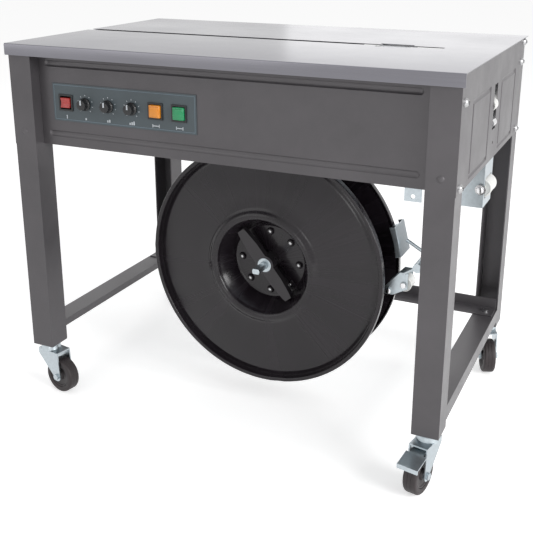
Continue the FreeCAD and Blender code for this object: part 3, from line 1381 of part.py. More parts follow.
plain_roller("feed_roller", feed_x, 0, feed_z, d.feed_radius, d.roller_width,
             d.feed_pin_radius + d.feed_play, d.nip_gap)
plain_roller("pinch_roller", feed_x, 0, pinch_z, d.pinch_radius, d.roller_width,
             d.pinch_pin_radius + d.feed_play, d.nip_gap)
transformer()
power_inlet()

document.recompute()
for thing in document.Objects:
    if "Invalid" in thing.State or "Error" in thing.State:
        raise RuntimeError(f"{thing.Label} is not up to date: {thing.State}")
for thing in nodes:
    if thing.Shape.isNull() or not thing.Shape.isValid():
        raise RuntimeError(f"{thing.Label} has no valid shape")

os.makedirs("parts", exist_ok=True)
for thing in nodes:
    thing.Shape.exportStep(f"parts/{thing.Label}.step")
print(len(nodes), "nodes,", sum(len(thing.Shape.Solids) for thing in nodes), "solids")
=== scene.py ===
import json
import math

import bmesh
import bpy
from bpy.props import FloatProperty, FloatVectorProperty, IntProperty, PointerProperty
from mathutils import Euler, Matrix, Vector


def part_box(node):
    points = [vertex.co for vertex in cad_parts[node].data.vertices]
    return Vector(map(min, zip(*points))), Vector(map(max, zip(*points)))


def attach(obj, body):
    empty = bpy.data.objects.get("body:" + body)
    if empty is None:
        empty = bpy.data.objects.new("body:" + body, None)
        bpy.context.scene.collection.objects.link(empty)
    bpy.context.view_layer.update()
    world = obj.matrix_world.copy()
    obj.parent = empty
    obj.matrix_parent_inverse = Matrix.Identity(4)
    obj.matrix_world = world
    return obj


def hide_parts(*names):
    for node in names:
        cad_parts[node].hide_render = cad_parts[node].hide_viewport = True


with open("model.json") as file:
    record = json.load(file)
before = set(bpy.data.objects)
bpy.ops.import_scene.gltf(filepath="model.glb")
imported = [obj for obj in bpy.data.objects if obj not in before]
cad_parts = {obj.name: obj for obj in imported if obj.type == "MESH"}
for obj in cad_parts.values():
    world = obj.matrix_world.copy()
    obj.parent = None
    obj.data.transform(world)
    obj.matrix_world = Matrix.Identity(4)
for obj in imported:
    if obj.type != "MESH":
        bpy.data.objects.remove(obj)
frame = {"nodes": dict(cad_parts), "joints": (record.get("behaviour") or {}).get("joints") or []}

bl_info = {
    "name": "Strapping Table Finish",
    "version": (1, 0, 0),
    "blender": (4, 5, 0),
    "location": "View3D > Sidebar > Strapping Table",
    "description": "Finishes, fine parts and a studio for a strapping table on casters",
    "category": "Object",
}

MM = 0.001
X, Y = Vector((1, 0, 0)), Vector((0, 1, 0))
FULL_TURN = math.tau
FINISH = "finish "
KNOBS = ("heat_knob", "feed_knob", "tension_knob")
BUTTONS = ("amber_button", "green_button")

# Facets round a small turned part
FACETS = 32

# Stage, in metres: the floor, the share of the table's height that the lamps aim at, where
# each lamp stands with its width, and the spot of the table top that mirrors the sheen lamp,
# with that lamp's distance from it and its width
FLOOR_SIZE = 30.0
FLOOR_GLOW = 0.50
AIM_SHARE = 0.6
LAMPS = {"side_lamp": ((3.0, -0.9, 1.6), 1.6), "top_lamp": ((-0.8, 1.4, 3.0), 2.0),
         "front_lamp": ((-2.0, -3.0, 1.6), 2.0), "low_lamp": ((0.55, -2.9, 0.6), 0.6)}
SHEEN_SPOT, SHEEN_REACH, SHEEN_WIDTH = (0.36, -0.1), 3.2, 1.7


def length(name, description, default, **more):
    return FloatProperty(name=name, description=description, default=default * MM,
                         unit="LENGTH", **more)


def count(name, description, default, least):
    return IntProperty(name=name, description=description, default=default, min=least)


def power(name, description, default):
    return FloatProperty(name=name, description=description, default=default, unit="POWER")


def colour(name, description, default):
    return FloatVectorProperty(name=name, description=description, default=default,
                               subtype="COLOR", size=3, min=0, max=1)


class StrapperColours(bpy.types.PropertyGroup):
    """Colours of the paints, plastics and metals"""

    paint: colour("Frame Paint", "Grey paint of legs, panels and rails", (0.092, 0.086, 0.092))
    steel: colour("Table Steel", "Brushed sheet of the table top", (0.225, 0.222, 0.245))
    zinc: colour("Zinc", "Plated brackets, forks and brake", (0.47, 0.52, 0.55))
    chrome: colour("Bright Steel", "Screws and the strap bar", (0.74, 0.74, 0.75))
    machined: colour("Machined Steel", "Parts of the sealing head", (0.42, 0.43, 0.45))
    plate: colour("Control Plate", "Plate behind the switches", (0.070, 0.090, 0.101))
    marks: colour("Marks", "Printed ticks and signs", (0.62, 0.66, 0.70))
    border: colour("Border", "Thin line round the control plate", (0.16, 0.22, 0.27))
    reel: colour("Reel Enamel", "Black of the reel", (0.013, 0.010, 0.013))
    handle: colour("Lock Handle", "Moulded handle in the reel's bowl", (0.018, 0.015, 0.018))
    black: colour("Black Plastic", "Knobs and bezels", (0.016, 0.016, 0.017))
    red: colour("Red", "Power rocker", (0.45, 0.035, 0.03))
    amber: colour("Amber", "Left push button", (0.86, 0.30, 0.02))
    green: colour("Green", "Right push button", (0.012, 0.30, 0.11))
    nylon: colour("White Nylon", "Strap rollers", (0.72, 0.72, 0.70))
    rubber: colour("Rubber", "Tyres, belt and pinch roller", (0.024, 0.018, 0.019))
    hub: colour("Wheel Hub", "Moulded core of the wheels", (0.075, 0.068, 0.070))
    machine: colour("Machine Enamel", "Motor and gearbox", (0.07, 0.10, 0.13))
    board: colour("Circuit Board", "Control board", (0.010, 0.10, 0.035))
    core: colour("Varnished Core", "Transformer core", (0.10, 0.075, 0.055))


class StrapperSizes(bpy.types.PropertyGroup):
    """Sizes of the fine parts"""

    fold_radius: length("Fold Radius", "Outer radius of the table top's front fold", 2.5)
    edge_softening: length("Edge Softening", "Bevel on cut and folded edges", 0.5)
    reel_roll: length("Rim Roll", "Radius of the rolled rim of the reel", 2.6)
    reel_steps: count("Reel Steps", "Facets round the reel", 160, 24)
    knob_flutes: count("Knob Flutes", "Grooves round a knob", 18, 6)
    dial_ticks: count("Dial Ticks", "Marks round a knob", 9, 2)
    tick_length: length("Tick Length", "Length of a dial mark", 2.0)
    tick_width: length("Tick Width", "Width of a dial mark", 1.4)
    print_gauge: length("Print Thickness", "How far the printed marks stand proud", 0.12)
    tread_grooves: count("Tyre Grooves", "Fine grooves in the tread", 2, 0)
    ball_count: count("Race Balls", "Balls in a caster's race", 18, 6)


class StrapperStage(bpy.types.PropertyGroup):
    """Camera, lamps and floor"""

    camera_x: length("Camera X", "Camera to the right of the table's middle", 735.5)
    camera_y: length("Camera Y", "Camera behind the table's middle", -1602.7)
    camera_z: length("Camera Z", "Camera above the floor", 953.3)
    yaw: FloatProperty(name="Yaw", description="Turn of the camera to its left",
                       default=math.radians(25.21), subtype="ANGLE")
    pitch: FloatProperty(name="Pitch", description="Tilt of the camera, upwards positive",
                         default=math.radians(-17.4), subtype="ANGLE")
    focal_pixels: FloatProperty(name="Focal Length in Pixels", default=867.5,
                                description="Focal length on the photograph's frame")
    axis_row: FloatProperty(name="Axis Row", default=205.0,
                            description="Pixel row that the camera's axis meets")
    frame_height: count("Frame Height", "Photograph's height in pixels", 540, 1)
    side_lamp: power("Side Lamp", "Power of the lamp on the right", 75)
    top_lamp: power("Top Lamp", "Power of the lamp above", 12)
    front_lamp: power("Front Lamp", "Power of the lamp in front", 9)
    low_lamp: power("Low Lamp", "Power of the small lamp in front", 4)
    sheen_lamp: power("Sheen Lamp", "Power of the lamp mirrored in the table top", 4)
    surround: FloatProperty(name="Surround", description="Strength of the pale surround",
                            default=0.50)
    floor_colour: colour("Floor", "Floor and backdrop", (0.90, 0.90, 0.90))


# Shader building

def group_tree(name, inputs, outputs):
    """A new node group with the named number inputs and the named outputs."""
    tree = bpy.data.node_groups.new(name, "ShaderNodeTree")
    for label, value in inputs.items():
        socket = tree.interface.new_socket(label, in_out="INPUT", socket_type="NodeSocketFloat")
        socket.default_value = value
    for label in outputs:
        tree.interface.new_socket(label, in_out="OUTPUT", socket_type="NodeSocketFloat")
    return tree, tree.nodes.new("NodeGroupInput"), tree.nodes.new("NodeGroupOutput")


def noise(tree, vector, scale=5.0, detail=2.0, roughness=0.5):
    node = tree.nodes.new("ShaderNodeTexNoise")
    node.inputs["Detail"].default_value = detail
    node.inputs["Roughness"].default_value = roughness
    tree.links.new(vector, node.inputs["Vector"])
    if isinstance(scale, (int, float)):
        node.inputs["Scale"].default_value = scale
    else:
        tree.links.new(scale, node.inputs["Scale"])
    return node.outputs["Fac"]


def object_place(tree):
    return tree.nodes.new("ShaderNodeTexCoord").outputs["Object"]


def seen_directly(tree):
    """1 for rays from the camera, a reflection or a clear body, and 0 for all light."""
    path = tree.nodes.new("ShaderNodeLightPath")
    shown = calculate(tree, "MAXIMUM", path.outputs["Is Camera Ray"],
                      path.outputs["Is Glossy Ray"])
    return calculate(tree, "MAXIMUM", shown, path.outputs["Is Transmission Ray"])


def calculate(tree, operation, first, second):
    node = tree.nodes.new("ShaderNodeMath")
    node.operation = operation
    for socket, value in zip(node.inputs, (first, second)):
        if isinstance(value, (int, float)):
            socket.default_value = value
        else:
            tree.links.new(value, socket)
    return node.outputs[0]


def vector_math(tree, operation, vector):
    node = tree.nodes.new("ShaderNodeVectorMath")
    node.operation = operation
    tree.links.new(vector, node.inputs[0])
    return node


def spread(tree, value, low, high, start=0.0, end=1.0):
    node = tree.nodes.new("ShaderNodeMapRange")
    tree.links.new(value, node.inputs["Value"])
    for label, number in (("From Min", start), ("From Max", end), ("To Min", low),
                          ("To Max", high)):
        node.inputs[label].default_value = number
    return node.outputs["Result"]


def brushing_group():
    """Fine parallel scratches along X, with broad cloudy bands."""
    tree, given, result = group_tree("brushing", {"Across": 900.0, "Along": 3.0},
                                     ("Scratches", "Clouds"))
    place = object_place(tree)
    split = tree.nodes.new("ShaderNodeSeparateXYZ")
    join = tree.nodes.new("ShaderNodeCombineXYZ")
    tree.links.new(place, split.inputs[0])
    for axis, rate in (("X", "Along"), ("Y", "Across"), ("Z", "Across")):
        scaled = calculate(tree, "MULTIPLY", split.outputs[axis], given.outputs[rate])
        tree.links.new(scaled, join.inputs[axis])
    tree.links.new(noise(tree, join.outputs[0], 1.0, 3.0, 0.6), result.inputs["Scratches"])
    tree.links.new(noise(tree, place, 5.0, 3.0, 0.55), result.inputs["Clouds"])
    return tree


def mottle_group():
    """Orange peel of a sprayed or cast skin, and slow handling smears."""
    tree, given, result = group_tree("mottle", {"Peel Scale": 900.0, "Smear Scale": 9.0},
                                     ("Peel", "Smears", "Specks"))
    place = object_place(tree)
    tree.links.new(noise(tree, place, given.outputs["Peel Scale"], 2.0), result.inputs["Peel"])
    smears = noise(tree, place, given.outputs["Smear Scale"], 4.0, 0.62)
    tree.links.new(smears, result.inputs["Smears"])
    fine = calculate(tree, "MULTIPLY", given.outputs["Peel Scale"], 0.35)
    specks = noise(tree, place, fine, 5.0, 0.75)
    tree.links.new(specks, result.inputs["Specks"])
    return tree


def shared_group(tree, name, build, **values):
    """A node of a group that is built when it is first asked for."""
    node = tree.nodes.new("ShaderNodeGroup")
    node.node_tree = bpy.data.node_groups.get(name) or build()
    for label, value in values.items():
        node.inputs[label.replace("_", " ")].default_value = value
    return node


def new_material(name, roughness, metallic=0.0, **sockets):
    material = bpy.data.materials.new(FINISH + name)
    material.use_nodes = True
    shader = material.node_tree.nodes["Principled BSDF"]
    shader.inputs["Roughness"].default_value = roughness
    shader.inputs["Metallic"].default_value = metallic
    for label, value in sockets.items():
        shader.inputs[label.replace("_", " ")].default_value = value
    return material, material.node_tree, shader


def tint(tree, shader, base, mask, dark=0.85, light=1.12):
    """Base colour that a mask shifts between a darker and a lighter tone."""
    mix = tree.nodes.new("ShaderNodeMix")
    mix.data_type = "RGBA"
    tree.links.new(mask, mix.inputs["Factor"])
    for label, amount in (("A", dark), ("B", light)):
        socket = [s for s in mix.inputs if s.name == label and s.type == "RGBA"][0]
        socket.default_value = (*[min(1.0, c * amount) for c in base], 1.0)
    output = [s for s in mix.outputs if s.type == "RGBA"][0]
    tree.links.new(output, shader.inputs["Base Color"])


def relief(tree, shader, height, strength, distance):
    bump = tree.nodes.new("ShaderNodeBump")
    bump.inputs["Strength"].default_value = strength
    bump.inputs["Distance"].default_value = distance
    tree.links.new(height, bump.inputs["Height"])
    tree.links.new(bump.outputs["Normal"], shader.inputs["Normal"])


def coated(name, base, roughness, metallic=0.0, peel=900.0, smear=9.0, relief_strength=0.25,
           roughness_swing=0.08, dark=0.88, light=1.1, **sockets):
    """Sprayed, moulded or plated skin: peel in the relief and smears in tone and gloss."""
    material, tree, shader = new_material(name, roughness, metallic, **sockets)
    group = shared_group(tree, "mottle", mottle_group, Peel_Scale=peel, Smear_Scale=smear)
    tint(tree, shader, base, spread(tree, group.outputs["Smears"], 0, 1, 0.3, 0.7), dark, light)
    rough = spread(tree, group.outputs["Smears"], roughness - roughness_swing,
                   roughness + roughness_swing, 0.3, 0.7)
    tree.links.new(rough, shader.inputs["Roughness"])
    relief(tree, shader, group.outputs["Peel"], relief_strength, 0.2 * MM)
    return material


def brushed(name, base, roughness, across=1700.0, along=4.0, strength=0.05, swing=0.05):
    """Rolled or brushed steel with its grain along X."""
    material, tree, shader = new_material(name, roughness, 1.0)
    group = shared_group(tree, "brushing", brushing_group, Across=across, Along=along)
    tint(tree, shader, base, spread(tree, group.outputs["Scratches"], 0, 1, 0.25, 0.75),
         0.95, 1.05)
    both = calculate(tree, "ADD", group.outputs["Scratches"], group.outputs["Clouds"])
    rough = spread(tree, both, roughness - swing, roughness + swing, 0.7, 1.3)
    tree.links.new(rough, shader.inputs["Roughness"])
    relief(tree, shader, group.outputs["Scratches"], strength, 0.05 * MM)
    return material


def plated(name, base, roughness=0.32):
    """Bright zinc with a spangle of faint crystal edges."""
    material, tree, shader = new_material(name, roughness, 1.0)
    place = object_place(tree)
    cells = tree.nodes.new("ShaderNodeTexVoronoi")
    cells.inputs["Scale"].default_value = 160.0
    tree.links.new(place, cells.inputs["Vector"])
    group = shared_group(tree, "mottle", mottle_group, Smear_Scale=30.0)
    blend = calculate(tree, "MULTIPLY", cells.outputs["Distance"], group.outputs["Smears"])
    tint(tree, shader, base, spread(tree, blend, 0, 1, 0.05, 0.4), 0.95, 1.05)
    rough = spread(tree, group.outputs["Smears"], roughness - 0.05, roughness + 0.07, 0.3, 0.7)
    tree.links.new(rough, shader.inputs["Roughness"])
    relief(tree, shader, group.outputs["Peel"], 0.08, 0.1 * MM)
    return material


def radial_enamel(name, base, centre):
    """Gloss black with faint rays from the reel's middle, which paint a radial sheen into the
    tone and vary the gloss, and fine turned grooves.
    """
    material, tree, shader = new_material(name, 0.24, Coat_Weight=0.25, Coat_Roughness=0.10,
                                          Specular_IOR_Level=0.3)
    mapping = tree.nodes.new("ShaderNodeMapping")
    mapping.inputs["Location"].default_value = -centre
    place = object_place(tree)
    tree.links.new(place, mapping.inputs["Vector"])
    flat = vector_math(tree, "MULTIPLY", mapping.outputs[0])
    flat.inputs[1].default_value = (1, 0, 1)
    heading = vector_math(tree, "NORMALIZE", flat.outputs["Vector"])
    reach = vector_math(tree, "LENGTH", flat.outputs["Vector"])
    ring = tree.nodes.new("ShaderNodeCombineXYZ")
    tree.links.new(reach.outputs["Value"], ring.inputs["X"])
    sheen_rays = noise(tree, heading.outputs["Vector"], 5.0, 3.0, 0.55)
    grooves = noise(tree, ring.outputs[0], 1500.0, 2.0)
    # Painted sheen: the rays make the base colour lighter and darker to stand in for radial
    # reflections; they also vary the roughness
    tint(tree, shader, base, spread(tree, sheen_rays, 0, 1, 0.3, 0.7), 0.8, 1.35)
    tree.links.new(spread(tree, sheen_rays, 0.17, 0.33, 0.3, 0.7), shader.inputs["Roughness"])
    relief(tree, shader, grooves, 0.15, 0.03 * MM)
    return material


def finish_named(name):
    """The finish of that name; all of them are made when the first one is asked for."""
    if FINISH + name not in bpy.data.materials:
        make_finishes(bpy.context.scene.strapper_colours)
    return bpy.data.materials[FINISH + name]


def make_finishes(c):
    coated("frame_paint", c.paint, 0.40, 0.35, peel=700, relief_strength=0.22, Coat_Weight=0.15,
           Coat_Roughness=0.25)
    brushed("table_steel", c.steel, 0.2, strength=0.03)
    brushed("chute_steel", [0.4 * v for v in c.steel], 0.45)
    plated("zinc", c.zinc)
    brushed("bright_steel", c.chrome, 0.16, across=1500, along=1500, strength=0.05)
    brushed("screw_steel", [0.55 * v for v in c.chrome], 0.22, across=1500, along=1500)
    brushed("machined_steel", c.machined, 0.3, across=1200, along=40, strength=0.2)
    coated("plate_enamel", c.plate, 0.38, peel=1400, relief_strength=0.08)
    coated("print_white", c.marks, 0.5, peel=1600, relief_strength=0.05)
    coated("print_border", c.border, 0.5, peel=1600, relief_strength=0.05)
    radial_enamel("reel_enamel", c.reel, middle("reel_front_flange"))
    coated("handle_moulding", c.handle, 0.34, peel=600, relief_strength=0.08, smear=25,
           dark=0.85, light=1.2)
    coated("black_plastic", c.black, 0.42, peel=1300, relief_strength=0.25)
    coated("gloss_black", c.black, 0.22, peel=500, relief_strength=0.05)
    for hue in ("red", "amber", "green"):
        coated(hue + "_plastic", getattr(c, hue), 0.25, relief_strength=0.05, Coat_Weight=0.3)
    coated("white_nylon", c.nylon, 0.42, smear=60, relief_strength=0.1, dark=0.9, light=1.04)
    coated("tyre_rubber", c.rubber, 0.55, peel=1100, smear=40, relief_strength=0.4,
           dark=0.8, light=1.5)
    coated("hub_moulding", c.hub, 0.45, peel=1200, smear=50, relief_strength=0.25)
    coated("machine_enamel", c.machine, 0.35, peel=500, relief_strength=0.35)
    coated("board_green", c.board, 0.35, peel=1500, relief_strength=0.1)
    coated("varnished_core", c.core, 0.4, peel=2000, relief_strength=0.4)


# Mesh building

def soften(bm, angle=35.0):
    """Smooth faces, with a crease wherever two of them meet at more than the angle."""
    limit = math.radians(angle)
    for face in bm.faces:
        face.smooth = True
    for edge in bm.edges:
        edge.smooth = edge.is_manifold and edge.calc_face_angle(math.pi) < limit


def piece(name, bm, finish, body, replaces=(), angle=35.0):
    """Makes an object of the mesh that rides on a body and may stand for CAD nodes."""
    soften(bm, angle)
    mesh = bpy.data.meshes.new(name)
    bm.to_mesh(mesh)
    bm.free()
    thing = bpy.data.objects.new(name, mesh)
    bpy.context.collection.objects.link(thing)
    mesh.materials.append(finish_named(finish))
    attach(thing, body)
    if replaces:
        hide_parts(*replaces)
    return thing


def extent(node):
    low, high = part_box(node)
    return Vector(low), Vector(high)


def middle(node):
    low, high = extent(node)
    return (low + high) / 2


def unique(items):
    """Each item once, in the order given, so that every run builds the same mesh."""
    return list(dict.fromkeys(items))


def block(bm, low, high, bevel=0.0, segments=2):
    """A box between two corners, with its edges rounded."""
    low, high = Vector(low), Vector(high)
    matrix = Matrix.Translation((low + high) / 2) @ Matrix.Diagonal((*(high - low), 1))
    made = bmesh.ops.create_cube(bm, size=1.0, matrix=matrix)
    if bevel:
        edges = unique(edge for vert in made["verts"] for edge in vert.link_edges)
        bmesh.ops.bevel(bm, geom=edges, offset=bevel, segments=segments, affect="EDGES",
                        profile=0.5, material=-1)


def aimed(start, end):
    """Matrix that puts a Z-long unit shape between two points."""
    start, end = Vector(start), Vector(end)
    turn = (end - start).to_track_quat("Z", "Y").to_matrix().to_4x4()
    return Matrix.Translation((start + end) / 2) @ turn


def bar(bm, start, end, radius, bevel=0.0, segments=FACETS):
    """A round bar between two points, with its end edges rounded."""
    reach = (Vector(end) - Vector(start)).length
    made = bmesh.ops.create_cone(bm, cap_ends=True, segments=segments, radius1=radius,
                                 radius2=radius, depth=reach, matrix=aimed(start, end))
    if bevel:
        caps = [f for v in made["verts"] for f in v.link_faces if len(f.verts) == segments]
        edges = unique(edge for face in caps for edge in face.edges)
        bmesh.ops.bevel(bm, geom=edges, offset=bevel, segments=2, affect="EDGES",
                        profile=0.5, material=-1)


def lathe(bm, centre, axis, outline, steps):
    """Turns a closed outline of (radius, distance along the axis) once round the axis."""
    side = X if abs(axis.x) < 0.5 else Y
    side = (side - axis * side.dot(axis)).normalized()
    verts = [bm.verts.new(centre + side * r + axis * along) for r, along in outline]
    edges = [bm.edges.new(pair) for pair in zip(verts, verts[1:] + verts[:1])]
    bmesh.ops.spin(bm, geom=verts + edges, cent=centre, axis=axis, angle=FULL_TURN,
                   steps=steps, use_merge=True)
    bmesh.ops.remove_doubles(bm, verts=bm.verts, dist=0.001 * MM)
    bmesh.ops.recalc_face_normals(bm, faces=bm.faces)


def arc(centre, radius, start, end, steps=6):
    """Points on an arc, as (radius, distance) pairs, for an outline."""
    angles = [math.radians(start + (end - start) * i / steps) for i in range(steps + 1)]
    return [(centre[0] + radius * math.cos(a), centre[1] + radius * math.sin(a))
            for a in angles]


def in_mm(*points, base=0.0):
    """Points of an outline in millimetres, with their radii counted from a base radius."""
    return [(base + radius * MM, along * MM) for radius, along in points]


def softened_copy(node, finish, body, bevel=None, angle=30.0):
    """A copy of a CAD node with merged flat faces and rounded edges, in its place."""
    bm = bmesh.new()
    bm.from_mesh(frame["nodes"][node].data)
    bmesh.ops.remove_doubles(bm, verts=bm.verts, dist=0.005 * MM)
    bmesh.ops.dissolve_limit(bm, angle_limit=math.radians(0.5), verts=bm.verts,
                             edges=bm.edges)
    thing = piece(node + "_finished", bm, finish, body, replaces=(node,), angle=angle)
    bevelling = thing.modifiers.new("rounded edges", "BEVEL")
    bevelling.width = bevel or bpy.context.scene.strapper_sizes.edge_softening
    bevelling.segments = 2
    bevelling.limit_method = "ANGLE"
    bevelling.angle_limit = math.radians(angle)
    bevelling.use_clamp_overlap = True
    bevelling.harden_normals = True
    return thing


def paint_node(node, finish):
    """Gives a CAD node's own object a finish."""
    thing = frame["nodes"][node]
    if not thing.material_slots:
        thing.data.materials.append(finish_named(finish))
    for slot in thing.material_slots:
        slot.material = finish_named(finish)


class STRAPPER_OT_casing(bpy.types.Operator):
    """Paint the frame, the casing and the carried-over steel parts"""

    bl_idname = "strapper.casing"
    bl_label = "Frame and Casing"
    bl_options = {"REGISTER", "UNDO"}

    def execute(self, context):
        for node in ("front_legs", "rear_legs", "lower_rails"):
            softened_copy(node, "frame_paint", "frame")
        for node in ("front_panel", "rear_panel", "side_panel_left", "side_panel_right"):
            paint_node(node, "frame_paint")
        for node in ("base_tray", "reel_bracket", "brake_bracket"):
            paint_node(node, "zinc")
        softened_copy("guide_bracket", "zinc", "frame")
        paint_node("strap_chute", "chute_steel")
        paint_node("inlet_guide", "bright_steel")
        paint_node("power_inlet", "black_plastic")
        self.painted_screws()
        return {"FINISHED"}

    def painted_screws(self):
        """Dome heads on the legs' front faces, under the same paint as the legs."""
        low, high = extent("front_legs")
        leg_width, rise = 50 * MM, 28 * MM
        level = extent("front_panel")[0].z + rise
        dome = [(0, 0), (6.5 * MM, 0)] + arc((0, -6 * MM), 8.8 * MM, 43, 88)
        dome.append((0, 2.8 * MM))
        bm = bmesh.new()
        for x in (low.x + leg_width / 2, high.x - leg_width / 2):
            lathe(bm, Vector((x, low.y, level)), -Y, dome, FACETS)
        piece("leg_screws", bm, "frame_paint", "frame")


class STRAPPER_OT_table(bpy.types.Operator):
    """Build the folded table top with its open slot, window and hinge lugs"""

    bl_idname = "strapper.table"
    bl_label = "Table Top"
    bl_options = {"REGISTER", "UNDO"}

    def execute(self, context):
        sizes = context.scene.strapper_sizes
        low, high = extent("table_top")
        gauge, slot_inset = 1.5 * MM, 106 * MM
        fold = sizes.fold_radius
        slot_end = high.x - slot_inset
        slot_half = 9 * MM
        head = middle("anvil_slide")
        window = (33 * MM, 23 * MM)
        bm = bmesh.new()
        front = low.y + fold
        size = Vector((high.x - low.x, high.y - front, 1))
        spot = Vector((0, (front + high.y) / 2, high.z))
        bmesh.ops.create_grid(bm, x_segments=1, y_segments=1, size=0.5,
                              matrix=Matrix.Translation(spot) @ Matrix.Diagonal((*size, 1)))
        cuts = [(x, X) for x in (slot_end, head.x - window[0], head.x + window[0])]
        cuts += [(y, Y) for y in (-slot_half, slot_half, -window[1], window[1])]
        for place, normal in cuts:
            bmesh.ops.bisect_plane(bm, geom=bm.verts[:] + bm.edges[:] + bm.faces[:],
                                   plane_co=normal * place, plane_no=normal)
        gone = []
        for face in bm.faces:
            at = face.calc_center_median()
            in_slot = at.x < slot_end and abs(at.y) < slot_half
            in_window = abs(at.x - head.x) < window[0] and abs(at.y) < window[1]
            if in_slot or in_window:
                gone.append(face)
        bmesh.ops.delete(bm, geom=gone, context="FACES")
        edges = [e for e in bm.edges if all(abs(v.co.y - front) < 0.01 * MM for v in e.verts)]
        verts = unique(v for e in edges for v in e.verts)
        spun = bmesh.ops.spin(bm, geom=verts + edges, cent=Vector((0, front, high.z - fold)),
                              axis=X, angle=math.pi / 2, steps=5)
        last = [e for e in spun["geom_last"] if isinstance(e, bmesh.types.BMEdge)]
        down = bmesh.ops.extrude_edge_only(bm, edges=last)
        moved = [v for v in down["geom"] if isinstance(v, bmesh.types.BMVert)]
        for vert in moved:
            vert.co.z = low.z
        bmesh.ops.remove_doubles(bm, verts=bm.verts, dist=0.01 * MM)
        bmesh.ops.recalc_face_normals(bm, faces=bm.faces)
        if max(bm.faces, key=lambda f: f.calc_area()).normal.z < 0:
            bmesh.ops.reverse_faces(bm, faces=bm.faces)
        bmesh.ops.solidify(bm, geom=bm.faces[:], thickness=gauge)
        top = max(v.co.z for v in bm.verts)
        bmesh.ops.translate(bm, verts=bm.verts, vec=(0, 0, high.z - top))
        bmesh.ops.recalc_face_normals(bm, faces=bm.faces)
        self.lugs(bm, high, gauge)
        piece("table_top_sheet", bm, "table_steel", "lid", replaces=("table_top",),
              angle=40)
        return {"FINISHED"}

    def lugs(self, bm, high, gauge):
        """Round-ended ears at the rear corners that turn on the pivot screws."""
        radius, bore, thick = 8 * MM, 4.08 * MM, 3 * MM
        pivot_inset, pivot_drop, end_inset = 14.5 * MM, 11.5 * MM, 9.5 * MM
        pivot_y, pivot_z = high.y - pivot_inset, high.z - pivot_drop
        for side in (-1, 1):
            inner = side * (high.x - end_inset + thick / 2) - thick / 2
            start = Vector((inner, pivot_y, pivot_z))
            ring = [(bore, 0), (radius, 0), (radius, thick), (bore, thick)]
            lathe(bm, start, X, ring, FACETS)
            block(bm, (inner, pivot_y - radius, pivot_z + bore),
                  (inner + thick, pivot_y + radius, high.z - gauge))


